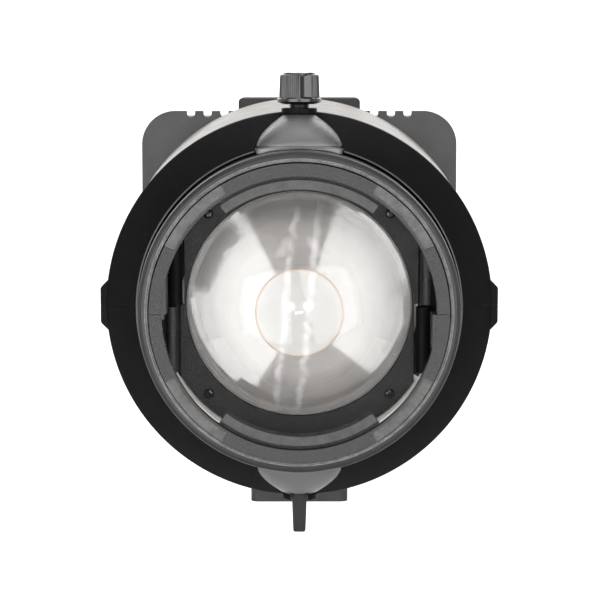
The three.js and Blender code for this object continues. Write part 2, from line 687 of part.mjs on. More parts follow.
const reflectorRear = CARRIAGE.frontY - REFLECTOR.rear;
const reflectorFront = CARRIAGE.frontY - REFLECTOR.length;
const reflector = turnY([
  [REFLECTOR.throat, reflectorRear],
  [REFLECTOR.mouth, reflectorFront],
  [REFLECTOR.mouth - REFLECTOR.wall, reflectorFront],
  [REFLECTOR.throat - REFLECTOR.wall, reflectorRear],
], 36);
part('led_reflector', reflector, 'satinAluminium');

for (const [name, side] of bothSides) {
  const rod = rodY(ROD.radius, ROD.frontY, REAR_RING.frontY - GAP, ROD.x * side, ROD.z);
  part(`guide_rod_${name}`, rod, 'steel');
}

part('focus_screw', rodY(LEAD.radius, LEAD.frontY, LEAD.rearY, 0, LEAD.z), 'steel');
const focusKnob = rodY(FOCUS_KNOB.radius, FOCUS_KNOB.frontY, FOCUS_KNOB.rearY, 0, LEAD.z)
  .subtract(rodY(LEAD.radius + GAP, COVER.frontY, LEAD.rearY + 0.4, 0, LEAD.z));
part('focus_knob', focusKnob, 'blackPlastic');

// ------------------------------------------------------- rear cover, controls

/** Bore right through the rear cover. */
const coverBore = (radius, x, z) => rodY(
  radius, COVER.frontY - 1, COVER.rearY + 1, x, z, SEG_SCREW,
);
/** Window right through the rear cover. */
const coverWindow = (width, height, radius, x, z) => plateY(
  roundedRect(width, height, radius, x, z), COVER.frontY - 1, COVER.rearY + 1, 4,
);

function grilleSlots() {
  const { slots, firstZ, radius, halfHeight } = GRILLE;
  return Array.from({ length: slots }, (_, i) => {
    const z = firstZ - (i * 2 * firstZ) / (slots - 1);
    const reach = Math.sqrt(radius ** 2 - z ** 2);
    return box(
      [-reach, COVER.frontY - 1, z - halfHeight],
      [reach, COVER.rearY + 1, z + halfHeight],
    );
  });
}

const coverOutline = roundedRect(boxWidth, boxHeight, HOUSING.corner - 2);
const rearCover = cutAll(plateY(coverOutline, COVER.frontY, COVER.rearY), [
  ...grilleSlots(),
  leadBore,
  coverBore(DIMMER.stemBore, DIMMER.x, DIMMER.z),
  coverWindow(ROCKER.width, ROCKER.height, 1, ROCKER.x, ROCKER.z),
  coverWindow(INLET.width, INLET.height, 3, INLET.x, INLET.z),
  coverWindow(SCREEN.width, SCREEN.height, SCREEN.corner, 0, SCREEN.z),
  ...BUTTON.at.map((x) => rodY(
    BUTTON.radius + GAP, COVER.frontY - 1, COVER.rearY + 1, x, BUTTON.z, SEG_SMALL,
  )),
  ...corners.map(([sx, sz]) => coverBore(COVER_SCREW.bore, COVER_SCREW.x * sx, COVER_SCREW.z * sz)),
]);
part('rear_cover', rearCover, 'housingGrey');

const window = plateY(
  roundedRect(SCREEN.width - 2 * GAP, SCREEN.height - 2 * GAP, SCREEN.corner, 0, SCREEN.z),
  COVER.frontY + SCREEN.frontInset,
  COVER.rearY - SCREEN.rearInset,
);
part('display_window', window, 'blackPlastic');

const dimmerFront = COVER.rearY + 1;
const dimmer = rodY(DIMMER.radius, dimmerFront, dimmerFront + DIMMER.height, DIMMER.x, DIMMER.z)
  .add(rodY(DIMMER.stem, COVER.frontY - DIMMER.stemDepth, dimmerFront + 1, DIMMER.x, DIMMER.z, SEG_SCREW));
part('dimmer_knob', dimmer, 'blackPlastic');

BUTTON.at.forEach((x, i) => {
  const button = rodY(BUTTON.radius, COVER.frontY - BUTTON.sunk, COVER.rearY + BUTTON.proud, x, BUTTON.z);
  part(`button_${i + 1}`, button, 'blackPlastic');
});

/** Socket body behind a window of the cover, hollow down to floorY. */
function socketBody({ x, z, width, height, rim, bodyFront, floorY }, outerRound, innerRound) {
  const outline = roundedRect(width - 2 * GAP, height - 2 * GAP, outerRound, x, z);
  const hollow = roundedRect(width - 2 * rim, height - 2 * rim, innerRound, x, z);
  return plateY(outline, bodyFront, COVER.rearY + 1).subtract(plateY(hollow, floorY, COVER.rearY + 2));
}
part('rocker_bezel', socketBody(ROCKER, 1, 0.8), 'blackPlastic');

const rocker = new THREE.Group();
rocker.position.set(ROCKER.x, COVER.rearY - ROCKER_KEY.sunk, ROCKER.z);
rocker.rotation.z = THREE.MathUtils.degToRad(ROCKER_KEY.tilt);
head.add(rocker);
const rockerKey = box(
  [-ROCKER_KEY.halfWidth, ROCKER_KEY.front, -ROCKER_KEY.halfHeight],
  [ROCKER_KEY.halfWidth, ROCKER_KEY.rear, ROCKER_KEY.halfHeight],
);
part('power_rocker', rockerKey, 'blackPlastic', rocker);

const inletPins = INLET_PIN.at.map(([dx, dz]) => box(
  [INLET.x + dx - INLET_PIN.halfWidth, INLET_PIN.frontY, INLET.z + dz - INLET_PIN.halfHeight],
  [INLET.x + dx + INLET_PIN.halfWidth, INLET_PIN.rearY, INLET.z + dz + INLET_PIN.halfHeight],
));
const inlet = inletPins.reduce((body, pin) => body.add(pin), socketBody(INLET, 3, 2));
part('power_inlet', inlet, 'blackPlastic');

for (const [sx, sz, where] of corners) {
  const { x, z, shank, head: headRadius, headHeight, length } = COVER_SCREW;
  const under = COVER.rearY + GAP;
  const screw = rodY(shank, COVER.frontY - length, COVER.rearY + 1, x * sx, z * sz, SEG_SCREW)
    .add(rodY(headRadius, under, under + headHeight, x * sx, z * sz, SEG_SCREW));
  part(`cover_screw_${where}`, screw, 'darkSteel');
}

// ------------------------------------------------------------ lock knob, clamp

const knobBody = turnZ([
  [0, KNOB.topZ - 5],
  [SPINDLE.radius + GAP, KNOB.topZ - 5],
  [SPINDLE.radius + GAP, KNOB.bottomZ],
  [KNOB.radius - 2, KNOB.bottomZ],
  [KNOB.flangeRadius, KNOB.bottomZ + 1.4],
  [KNOB.flangeRadius, KNOB.bottomZ + 3.6],
  [KNOB.radius + 0.2, KNOB.bottomZ + 4],
  [KNOB.radius - 0.4, KNOB.topZ - 1.4],
  [KNOB.radius - 2.4, KNOB.topZ - 1],
  [KNOB.radius - 2.8, KNOB.topZ],
  [0, KNOB.topZ],
], 0, BOSS.y, SEG_SMALL * 2);
part('lock_knob', knobBody, 'blackPlastic');
part('lock_spindle', rodZ(SPINDLE.radius, SPINDLE.bottomZ, KNOB.topZ - 5 - GAP, 0, BOSS.y), 'darkSteel');
const clampFoot = rodZ(CLAMP_FOOT.radius, CLAMP_FOOT.bottomZ, SPINDLE.bottomZ - GAP, 0, BOSS.y);
part('clamp_foot', clampFoot, 'blackPlastic');

// ------------------------------------------------------- release lever, latch

function releaseLever() {
  const { pivotZ, tipZ, topZ, halfThickness, tipRound } = LEVER;
  const outline = polygon([
    [-4.4, topZ], [4.4, topZ], [4.7, -BOSS.padZ],
    [3.9, tipZ + tipRound], [2.4, tipZ], [-2.4, tipZ], [-3.9, tipZ + tipRound],
    [-4.7, -BOSS.padZ],
  ]);
  return plateY(outline, BOSS.y - halfThickness, BOSS.y + halfThickness)
    .subtract(rodX(LEVER_PIN.bore, -6, 6, BOSS.y, pivotZ, SEG_SCREW));
}
part('release_lever', releaseLever(), 'blackShell');
const leverPin = rodX(LEVER_PIN.radius, -LEVER_PIN.half, LEVER_PIN.half, BOSS.y, LEVER.pivotZ, SEG_SCREW);
part('lever_pin', leverPin, 'steel');

function latchSlider() {
  const { halfWidth, footHalfWidth, frontY, stemY, stemRear, footRear } = LATCH;
  const { topZ, barZ, footTopZ, footZ } = LATCH;
  return box([-halfWidth, frontY, barZ], [halfWidth, stemRear, topZ])
    .add(box([-footHalfWidth, stemY, footZ], [footHalfWidth, stemRear, topZ]))
    .add(box([-footHalfWidth, stemY, footZ], [footHalfWidth, footRear, footTopZ]));
}
part('latch_slider', latchSlider(), 'steel');

export default head;
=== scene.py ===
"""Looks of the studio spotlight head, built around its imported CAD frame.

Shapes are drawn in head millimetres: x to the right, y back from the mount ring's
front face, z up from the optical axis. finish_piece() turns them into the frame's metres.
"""

import json
import math

import bmesh
import bpy
from mathutils import Matrix, Quaternion, Vector


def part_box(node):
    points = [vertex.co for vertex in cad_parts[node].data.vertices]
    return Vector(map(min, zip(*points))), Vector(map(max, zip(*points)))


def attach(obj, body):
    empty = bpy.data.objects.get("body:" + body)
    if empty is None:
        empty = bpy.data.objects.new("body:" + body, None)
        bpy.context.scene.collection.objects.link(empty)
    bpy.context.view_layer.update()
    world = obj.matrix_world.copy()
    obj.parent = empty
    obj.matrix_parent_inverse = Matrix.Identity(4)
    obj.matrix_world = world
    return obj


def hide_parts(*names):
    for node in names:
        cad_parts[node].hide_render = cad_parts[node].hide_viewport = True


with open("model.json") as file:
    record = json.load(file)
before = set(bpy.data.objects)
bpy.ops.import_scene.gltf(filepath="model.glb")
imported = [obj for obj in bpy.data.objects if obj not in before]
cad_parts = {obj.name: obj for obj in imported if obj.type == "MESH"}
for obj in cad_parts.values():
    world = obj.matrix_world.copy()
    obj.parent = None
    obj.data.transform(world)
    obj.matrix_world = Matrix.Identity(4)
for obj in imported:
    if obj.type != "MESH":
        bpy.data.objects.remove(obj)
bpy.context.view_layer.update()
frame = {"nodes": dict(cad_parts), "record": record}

MM = 0.001
FRONT_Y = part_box("mount_ring_upper")[0].y
BARREL_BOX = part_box("barrel")
AXIS_Z = (BARREL_BOX[0].z + BARREL_BOX[1].z) / 2
TO_FRAME = Matrix.Translation((0, FRONT_Y, AXIS_Z)) @ Matrix.Scale(MM, 4)
TO_HEAD = TO_FRAME.inverted()

GAP = 0.3
ROUND = 192                 # facets round a large ring
ROUND_SMALL = 64            # facets round a knob or boss
SHARP = math.radians(32)    # edges sharper than this stay crisp

# Sizes shared by neighbouring pieces, in head millimetres.
SHELL_REAR_Y = 64
BOSS_Y = 52
BOSS_FOOT = 95
PAD_Z = 122.6
LEVER_PIN = (BOSS_Y, -110)
CONE_FRONT, CONE_REAR = (99.8, 31), (120.6, 50)    # (radius, depth) ends of the black cone
RING_IN, RING_OUT, RING_DEPTH = 82.7, 90.6, 20
CELL_IN, CELL_OUT = 88.2, 93
CELL_Y = (44.3, 59)
PLATE_Y = (56.2, 59)
PLATE_OUT = 87.3
PLATE_SCREW = 56.8
CONE_TIP_R, CONE_TIP_Y = 26.6, 10.3
HOUSING_FRONT, HOUSING_PLATE, HOUSING_REAR = 244, 248, 312
COVER_Y = (312.3, 315.3)
FOCUS_SCREW = (0, -95)


# ---- mesh tools

def head_box(node):
    """A CAD node's corners in head millimetres."""
    low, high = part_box(node)
    return TO_HEAD @ low, TO_HEAD @ high


def span(node):
    """A CAD node's low corner, high corner and middle in head millimetres."""
    low, high = head_box(node)
    return low, high, (low + high) / 2


def on_axis(axis, centre, u, v, along):
    """Point at (u, v) from an axis through centre, at a distance along that axis."""
    u += centre[0]
    v += centre[1]
    return {"x": (along, u, v), "y": (u, along, v), "z": (u, v, along)}[axis]


def loft(bm, rings, closed=False, capped=False):
    """Faces between neighbouring rings of vertices."""
    pairs = list(zip(rings, rings[1:]))
    if closed:
        pairs.append((rings[-1], rings[0]))
    for low, high in pairs:
        for i in range(len(low)):
            j = (i + 1) % len(low)
            bm.faces.new((low[i], low[j], high[j], high[i]))
    if capped:
        bm.faces.new(rings[0])
        bm.faces.new(rings[-1][::-1])


def link(name, data):
    """Object of this data, in the scene."""
    obj = bpy.data.objects.new(name, data)
    bpy.context.scene.collection.objects.link(obj)
    return obj


def new_object(name, bm):
    """bmesh to an object in the scene, its normals facing out."""
    bmesh.ops.recalc_face_normals(bm, faces=bm.faces)
    mesh = bpy.data.meshes.new(name)
    bm.to_mesh(mesh)
    bm.free()
    return link(name, mesh)


def fillet(points, radius, steps=3):
    """Rounds each inner corner of an open run of points."""
    rounded = [points[0]]
    for before, corner, after in zip(points, points[1:], points[2:]):
        a, b, c = Vector(before), Vector(corner), Vector(after)
        reach = min(radius, (a - b).length * 0.45, (c - b).length * 0.45)
        start = b + (a - b).normalized() * reach
        end = b + (c - b).normalized() * reach
        for step in range(steps + 1):
            t = step / steps
            rounded.append(tuple(start * (1 - t) ** 2 + b * 2 * t * (1 - t) + end * t ** 2))
    rounded.append(points[-1])
    return rounded


def fillet_loop(points, radius, steps=3):
    """Rounds every corner of a closed loop of points."""
    wrapped = [points[-1], *points, points[0]]
    return fillet(wrapped, radius, steps)[1:-1]


def lathe(name, profile, axis="y", centre=(0, 0), segments=ROUND, closed=True):
    """Solid of revolution. A profile point is (radius, distance along the axis)."""
    bm = bmesh.new()
    rings = []
    for radius, along in profile:
        turns = [2 * math.pi * i / segments for i in range(segments)]
        points = [on_axis(axis, centre, radius * math.cos(t), radius * math.sin(t), along) for t in turns]
        rings.append([bm.verts.new(point) for point in points])
    loft(bm, rings, closed)
    bmesh.ops.remove_doubles(bm, verts=bm.verts, dist=1e-5)
    bmesh.ops.dissolve_degenerate(bm, edges=bm.edges, dist=1e-5)
    return new_object(name, bm)


def prism(name, outline, y0, y1, axis="y"):
    """Outline extruded from y0 to y1 along the axis."""
    bm = bmesh.new()
    low = [bm.verts.new(on_axis(axis, (0, 0), u, v, y0)) for u, v in outline]
    high = [bm.verts.new(on_axis(axis, (0, 0), u, v, y1)) for u, v in outline]
    bm.faces.new(low)
    bm.faces.new(high[::-1])
    for i in range(len(outline)):
        j = (i + 1) % len(outline)
        bm.faces.new((low[i], high[i], high[j], low[j]))
    return new_object(name, bm)


def solid(name, profile, axis="y", centre=(0, 0), segments=ROUND):
    """Solid of revolution whose profile starts and ends on the axis."""
    return lathe(name, profile, axis, centre, segments, closed=False)


def bore(centre, radius, start, end, segments=32, axis="y"):
    """Plain cylinder used to cut a hole."""
    return solid("bore", [(0, start), (radius, start), (radius, end), (0, end)], axis, centre, segments)


def grooved(name, levels, samples, reach, axis, centre):
    """Turned solid whose radius changes with the angle. A level is (radius, along, grip)."""
    bm = bmesh.new()
    rings = []
    for radius, along, grip in levels:
        ring = []
        for i in range(samples):
            angle = 2 * math.pi * i / samples
            r = reach(radius, grip, angle)
            ring.append(bm.verts.new(on_axis(axis, centre, r * math.cos(angle), r * math.sin(angle), along)))
        rings.append(ring)
    loft(bm, rings, capped=True)
    return new_object(name, bm)


def block(name, low, high):
    """Box between two corners."""
    outline = [(low[0], low[2]), (high[0], low[2]), (high[0], high[2]), (low[0], high[2])]
    return prism(name, outline, low[1], high[1])


def rounded_rect(width, height, radius, x=0, z=0, steps=8):
    """Points round a rectangle with round corners."""
    points = []
    for quadrant, (sx, sz) in enumerate([(1, 1), (-1, 1), (-1, -1), (1, -1)]):
        cx = x + sx * (width / 2 - radius)
        cz = z + sz * (height / 2 - radius)
        for step in range(steps + 1):
            angle = math.pi / 2 * (quadrant + step / steps)
            points.append((cx + radius * math.cos(angle), cz + radius * math.sin(angle)))
    return points


def slab(name, node, radius, steps=8):
    """Round-cornered plate as wide, high and deep as a CAD node."""
    low, high, middle = span(node)
    outline = rounded_rect(high.x - low.x, high.z - low.z, radius, middle.x, middle.z, steps)
    return prism(name, outline, low.y, high.y)


def arc_outline(inner, outer, start, end, corner=0.0):
    """Outline of a piece of a ring between two angles in degrees."""
    steps = max(6, int((end - start) / 1.5))
    angles = [math.radians(start + (end - start) * i / steps) for i in range(steps + 1)]
    outside = [(outer * math.cos(a), outer * math.sin(a)) for a in angles]
    inside = [(inner * math.cos(a), inner * math.sin(a)) for a in reversed(angles)]
    points = outside + inside
    if corner:
        marks = [0, steps, steps + 1, 2 * steps + 1]
        rounded = []
        for i, point in enumerate(points):
            if i in marks:
                trio = [points[i - 1], point, points[(i + 1) % len(points)]]
                rounded += fillet(trio, corner, 3)[1:-1]
            else:
                rounded.append(point)
        points = rounded
    return points


def apply_modifiers(obj):
    """Bakes an object's modifiers into its mesh."""
    graph = bpy.context.evaluated_depsgraph_get()
    mesh = bpy.data.meshes.new_from_object(obj.evaluated_get(graph))
    old = obj.data
    obj.modifiers.clear()
    obj.data = mesh
    bpy.data.meshes.remove(old)
    return obj


def combine(obj, *tools, operation="DIFFERENCE"):
    """Boolean of obj with each tool; the tools are used up."""
    for tool in tools:
        modifier = obj.modifiers.new("boolean", "BOOLEAN")
        modifier.operation = operation
        modifier.object = tool
        modifier.solver = "EXACT"
    apply_modifiers(obj)
    for tool in tools:
        bpy.data.objects.remove(tool)
    return obj


def cut(obj, *tools):
    return combine(obj, *tools)


def join(obj, *tools):
    return combine(obj, *tools, operation="UNION")


def bevel(obj, width, segments=2, angle=35, material=-1):
    """Rounds the edges sharper than angle degrees; the new faces can have a material slot of their own."""
    modifier = obj.modifiers.new("bevel", "BEVEL")
    modifier.material = material
    modifier.width = width
    modifier.segments = segments
    modifier.limit_method = "ANGLE"
    modifier.angle_limit = math.radians(angle)
    modifier.use_clamp_overlap = True
    return apply_modifiers(obj)


SWOLLEN = ("front_shell_upper", "front_shell_lower")    # curved all over, so shaded by plain smoothing


def coat(obj, *materials):
    """Gives an object its material slots in order."""
    for material in materials:
        obj.data.materials.append(material)


def choose_slots(obj, choose):
    """Gives each face the slot that choose(centre, radius, face) returns, unless that is None."""
    for face in obj.data.polygons:
        slot = choose(face.center, math.hypot(face.center.x, face.center.z), face)
        if slot is not None:
            face.material_index = slot


def finish_piece(obj, name, body, material, node=None):
    """Puts a piece in the frame with its body, slot, material and smooth shading."""
    obj.name = name
    obj.data.transform(TO_FRAME)
    if not obj.data.materials:
        obj.data.materials.append(material)
    obj.data.shade_smooth()
    obj.data.set_sharp_from_angle(angle=SHARP)
    if node not in SWOLLEN:
        weighted = obj.modifiers.new("normals", "WEIGHTED_NORMAL")
        weighted.keep_sharp = True
        apply_modifiers(obj)
    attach(obj, body)
    if node:
        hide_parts(node)
    return obj


# ---- materials

class Look:
    """A node material with a Principled shader and short ways to wire it."""

    def __init__(self, name, color, roughness, metallic=0.0, **settings):
        self.material = bpy.data.materials.new(name)
        self.material.use_nodes = True
        self.tree = self.material.node_tree
        self.shader = self.tree.nodes["Principled BSDF"]
        self.output = self.tree.nodes["Material Output"]
        self.color = (*color, 1.0)
        self.shader.inputs["Base Color"].default_value = self.color
        self.shader.inputs["Roughness"].default_value = roughness
        self.shader.inputs["Metallic"].default_value = metallic
        for key, value in settings.items():
            self.shader.inputs[key.replace("_", " ")].default_value = value
        self.position = None
        self.height = None

    def node(self, kind, operation=None, **inputs):
        made = self.tree.nodes.new("ShaderNode" + kind)
        if operation:
            made.operation = operation
        for key, value in inputs.items():
            self.feed(made.inputs[key.replace("_", " ")], value)
        return made

    def feed(self, socket, value):
        if isinstance(value, bpy.types.NodeSocket):
            self.tree.links.new(value, socket)
        else:
            socket.default_value = value

    def place(self):
        """Position on the object, in the frame's metres."""
        if self.position is None:
            self.position = self.node("TexCoord").outputs["Object"]
        return self.position

    def math(self, operation, a, b=0.0):
        made = self.node("Math", operation)
        self.feed(made.inputs[0], a)
        self.feed(made.inputs[1], b)
        return made.outputs[0]

    def times(self, a, b):
        return self.math("MULTIPLY", a, b)

    def plus(self, a, b):
        return self.math("ADD", a, b)

    def minus(self, a, b):
        return self.math("SUBTRACT", a, b)

    def noise(self, scale, detail=3.0, roughness=0.5, stretch=None, vector=None):
        source = vector or self.place()
        if stretch:
            source = self.node("Mapping", Vector=source, Scale=stretch).outputs["Vector"]
        made = self.node("TexNoise", Vector=source, Scale=scale, Detail=detail, Roughness=roughness)
        return made.outputs["Fac"]

    def ramp(self, value, low, high, at=(0.35, 0.65)):
        """Colour between low and high as value goes through the two places."""
        made = self.node("ValToRGB", Fac=value)
        for stop, place, color in zip(made.color_ramp.elements, at, (low, high)):
            stop.position = place
            stop.color = (*color, 1.0)
        return made.outputs["Color"]

    def tone(self, factor):
        """The look's own colour, made lighter or darker."""
        return (*(channel * factor for channel in self.color[:3]), 1.0)

    def tones(self, value, low, high, at=(0.35, 0.65)):
        """The look's own colour, between low and high times as light."""
        return self.ramp(value, self.tone(low)[:3], self.tone(high)[:3], at)

    def vector(self, x, y, z):
        return self.node("CombineXYZ", X=x, Y=y, Z=z).outputs[0]

    def level(self, value, low, high, at=(0.3, 0.7)):
        """Number between low and high as value goes through the two places."""
        made = self.node("MapRange", Value=value, From_Min=at[0], From_Max=at[1], To_Min=low, To_Max=high)
        return made.outputs["Result"]

    def mix(self, factor, a, b, blend="MIX"):
        made = self.node("Mix")
        made.data_type = "RGBA"
        made.blend_type = blend
        self.feed(made.inputs[0], factor)
        self.feed(made.inputs[6], a)
        self.feed(made.inputs[7], b)
        return made.outputs[2]

    def blend(self, factor, a, b):
        """Output that mixes two shaders."""
        made = self.node("MixShader")
        for socket, value in zip(made.inputs, (factor, a, b)):
            self.feed(socket, value)
        return made.outputs[0]

    def bump(self, height, distance, strength=1.0):
        made = self.node("Bump", Height=height, Distance=distance, Strength=strength)
        if self.height is not None:
            self.feed(made.inputs["Normal"], self.height)
        self.height = made.outputs["Normal"]
        self.feed(self.shader.inputs["Normal"], self.height)

    def set(self, **inputs):
        for key, value in inputs.items():
            self.feed(self.shader.inputs[key.replace("_", " ")], value)
        return self

    def edge_wear(self, base, worn, amount=0.5):
        """Lighter colour along the edges, broken up by noise."""
        rounded = self.node("Bevel", Radius=0.0009)
        rounded.samples = 4
        facing = self.node("VectorMath", "DOT_PRODUCT")
        self.feed(facing.inputs[0], rounded.outputs["Normal"])
        self.feed(facing.inputs[1], self.node("NewGeometry").outputs["Normal"])
        edge = self.level(facing.outputs["Value"], 1.0, 0.0, at=(0.9, 0.99))
        broken = self.times(edge, self.level(self.noise(900.0, 4.0), 0.0, 1.0, at=(0.4, 0.62)))
        return self.mix(self.times(broken, amount), base, worn)


def painted(name, color, roughness, grain=0.00004, worn=None, specks=0.0, gloss=0.5):
    """Fine powder-coated paint: mottled tone, orange peel, uneven gloss, worn edges."""
    look = Look(name, color, roughness, Specular_IOR_Level=gloss)
    cloud = look.noise(28.0, 5.0, 0.6)
    tone = look.tones(cloud, 0.95, 1.05)
    if specks:
        grains = look.noise(1700.0, 2.0, 0.5)
        tone = look.mix(look.level(grains, 0.0, specks, at=(0.5, 0.72)), tone, look.tone(4.5))
    if worn:
        tone = look.edge_wear(tone, (*worn, 1.0))
    rough = look.level(look.noise(70.0, 4.0), roughness - 0.05, roughness + 0.06)
    look.set(Base_Color=tone, Roughness=rough)
    look.bump(look.noise(1500.0, 3.0), grain)
    look.bump(look.noise(3.5, 2.0), 0.0002, 0.25)
    return look.material


def cast_grey(name, color, roughness=0.5):
    """Lacquered casting: blotchy grey with pits and rub marks."""
    look = Look(name, color, roughness, 0.1, Specular_IOR_Level=0.36)
    blotch = look.noise(110.0, 7.0, 0.66)
    tone = look.tones(blotch, 0.66, 1.3, at=(0.34, 0.68))
    pits = look.noise(950.0, 3.0)
    tone = look.mix(look.level(pits, 0.0, 0.8, at=(0.5, 0.72)), tone, look.tone(2.4))
    tone = look.edge_wear(tone, look.tone(2.0), 0.4)
    look.set(Base_Color=tone, Roughness=look.level(blotch, roughness - 0.1, roughness + 0.1))
    look.bump(pits, 0.0007, 1.0)
    look.bump(blotch, 0.0002, 0.3)
    return look.material


def around_axis(look):
    """Angle and radius about the optical axis, as a vector for stretched textures."""
    split = look.node("SeparateXYZ", Vector=look.place())
    x = split.outputs["X"]
    z = look.minus(split.outputs["Z"], AXIS_Z)
    angle = look.math("ARCTAN2", z, x)
    square = look.plus(look.times(x, x), look.times(z, z))
    radius = look.math("SQRT", square)
    return angle, radius, split.outputs["Y"]


def scuffed(name, color):
    """Bare rubbed metal: fine filing marks across the band, over a cloudy tone."""
    look = Look(name, color, 0.42, 0.45)
    angle, radius, depth = around_axis(look)
    along = look.plus(look.times(angle, 0.087), look.times(radius, 0.3))
    vector = look.vector(along, look.times(radius, 0.1), depth)
    streak = look.noise(2400.0, 3.0, 0.6, vector=vector)
    cloud = look.noise(170.0, 5.0, 0.6)
    fine = look.noise(2300.0, 3.0, 0.6)
    both = look.plus(look.times(streak, 0.45), look.times(cloud, 0.35))
    both = look.plus(both, look.times(fine, 0.2))
    look.set(
        Base_Color=look.tones(both, 0.5, 1.9, at=(0.38, 0.62)),
        Roughness=look.level(both, 0.5, 0.36),
    )
    look.bump(both, 0.00012, 0.8)
    return look.material


def turned_metal(name, color, roughness, metallic=1.0):
    """Lathe-turned metal: fine rings about the optical axis and faint stains."""
    look = Look(name, color, roughness, metallic)
    angle, radius, depth = around_axis(look)
    line = look.noise(9000.0, 2.0, vector=look.vector(radius, depth, 0.0))
    stain = look.noise(26.0, 5.0, 0.6)
    tone = look.mix(look.level(stain, 0.0, 0.35), (*color, 1.0), look.tone(0.86))
    tone = look.mix(look.level(line, 0.0, 0.3), tone, look.tone(0.8))
    look.set(Base_Color=tone, Roughness=look.level(stain, roughness - 0.03, roughness + 0.05))
    look.bump(line, 0.00002, 0.5)
    return look.material


def steel(name, color, roughness, metallic=1.0):
    """Ground steel with fine marks."""
    look = Look(name, color, roughness, metallic)
    marks = look.noise(700.0, 5.0, 0.6, stretch=(1.0, 1.0, 9.0))
    look.set(
        Base_Color=look.tones(marks, 0.8, 1.15),
        Roughness=look.level(marks, roughness - 0.06, roughness + 0.08),
    )
    look.bump(marks, 0.00002, 0.6)
    return look.material


def plastic(name, color, roughness, grain=0.00003):
    """Moulded plastic with a fine spark-eroded grain."""
    look = Look(name, color, roughness)
    grains = look.noise(1800.0, 3.0)
    rubbed = look.noise(60.0, 4.0)
    tone = look.tones(rubbed, 0.8, 1.25)
    tone = look.edge_wear(tone, look.tone(2.5), 0.4)
    look.set(Base_Color=tone, Roughness=look.level(rubbed, roughness - 0.07, roughness + 0.07))
    look.bump(grains, grain, 0.8)
    return look.material


def painted_streak_reflections(look):
    """How much whitish haze is painted on the lens glass: two faint wavy streaks, nearly upright, as painted
    reflections of strip lights.
    """
    split = look.node("SeparateXYZ", Vector=look.place())
    height = look.minus(split.outputs["Z"], AXIS_Z)
    wave = look.noise(160.0, 4.0, 0.6, stretch=(0.2, 0.2, 1.0))
    shift = look.times(look.minus(wave, 0.5), 0.009)
    slant = look.times(height, 0.1)
    across = look.plus(look.minus(split.outputs["X"], slant), shift)
    marks = []
    for offset in (-0.0085, 0.0058):
        away = look.math("ABSOLUTE", look.minus(across, offset))
        marks.append(look.level(away, 1.0, 0.0, at=(0.0006, 0.0031)))
    patchy = look.level(look.noise(120.0, 5.0, 0.7), 0.01, 0.1, at=(0.38, 0.62))
    return look.times(look.math("MAXIMUM", marks[0], marks[1]), patchy)


def clear_glass(name):
    """Coated lens glass: see-through, with a faint wavy gloss."""
    look = Look(name, (1.0, 1.0, 1.0), 0.02)
    clear = look.node("BsdfTransparent", Color=(0.985, 0.985, 0.98, 1.0)).outputs[0]
    ripple = look.noise(55.0, 5.0, 0.7, stretch=(1.0, 1.0, 0.55))
    wave = look.node("Bump", Height=ripple, Distance=0.001, Strength=0.2).outputs[0]
    gloss = look.node("BsdfGlossy", Color=(1.0, 1.0, 1.0, 1.0), Roughness=0.03, Normal=wave).outputs[0]
    edge = look.node("Fresnel", IOR=1.22).outputs[0]
    haze = look.node("BsdfDiffuse", Color=(0.9, 0.9, 0.9, 1.0)).outputs[0]
    glass = look.blend(look.math("MINIMUM", edge, 0.09), clear, gloss)
    # The whitish streaks over the glass are painted reflections of strip lights.
    look.feed(look.output.inputs["Surface"], look.blend(painted_streak_reflections(look), glass, haze))
    look.tree.nodes.remove(look.shader)
    return look.material


def lens_ribs(name, color):
    """Moulded lens ribs: pale body with a clear gloss, drawn out round the axis."""
    look = Look(name, color, 0.05, Specular_IOR_Level=1.0, IOR=1.58)
    angle, radius, depth = around_axis(look)
    across = look.vector(radius, 0.0, 0.0)
    ring_line = look.noise(5000.0, 3.0, vector=across)
    wide_line = look.noise(1300.0, 2.0, vector=across)
    near_disc = look.level(radius, 1.0, 0.0, at=(0.028, 0.036))
    along = look.times(angle, 0.035)
    sweep = look.vector(along, look.times(radius, 3.0), 0.0)
    brushed = look.noise(220.0, 5.0, 0.6, vector=sweep)
    haze = look.noise(24.0, 4.0, 0.55)
    ragged = look.times(look.minus(look.noise(90.0, 5.0), 0.5), 0.012)
    reach = look.plus(radius, ragged)
    outer = look.level(reach, 0.0, 1.0, at=(0.053, 0.057))
    wobble = look.plus(angle, look.times(ragged, 12.0))
    after = look.level(wobble, 0.0, 1.0, at=(2.22, 2.34))
    before = look.level(wobble, 1.0, 0.0, at=(2.92, 3.08))
    dull = look.times(outer, look.times(after, before))
    # Mask of a patch near the rim on the right, darkened as painted shade from the ring's edge and made
    # rougher.
    away = look.math("ABSOLUTE", look.minus(wobble, 0.16))
    rim_shade_side = look.level(away, 1.0, 0.0, at=(0.0, 0.13))
    rim_shade_spot = look.times(rim_shade_side, look.level(reach, 0.0, 1.0, at=(0.055, 0.061)))
    tone = look.tones(haze, 0.9, 1.1)
    tone = look.mix(look.level(ring_line, 0.0, 0.35), tone, look.tone(0.75))
    dark_line = look.times(near_disc, look.level(wide_line, 0.0, 0.6, at=(0.45, 0.6)))
    tone = look.mix(dark_line, tone, look.tone(0.45))
    # Painted shade: darker near the rim on the right.
    tone = look.mix(look.times(rim_shade_spot, 0.2), tone, look.tone(0.4))
    streaked = look.level(brushed, 0.03, 0.08)
    dulled = look.math("MAXIMUM", dull, look.times(rim_shade_spot, 0.35))
    look.set(Base_Color=tone, Roughness=look.plus(streaked, look.times(dulled, 0.5)))
    look.bump(brushed, 0.00003, 0.12)
    return look.material


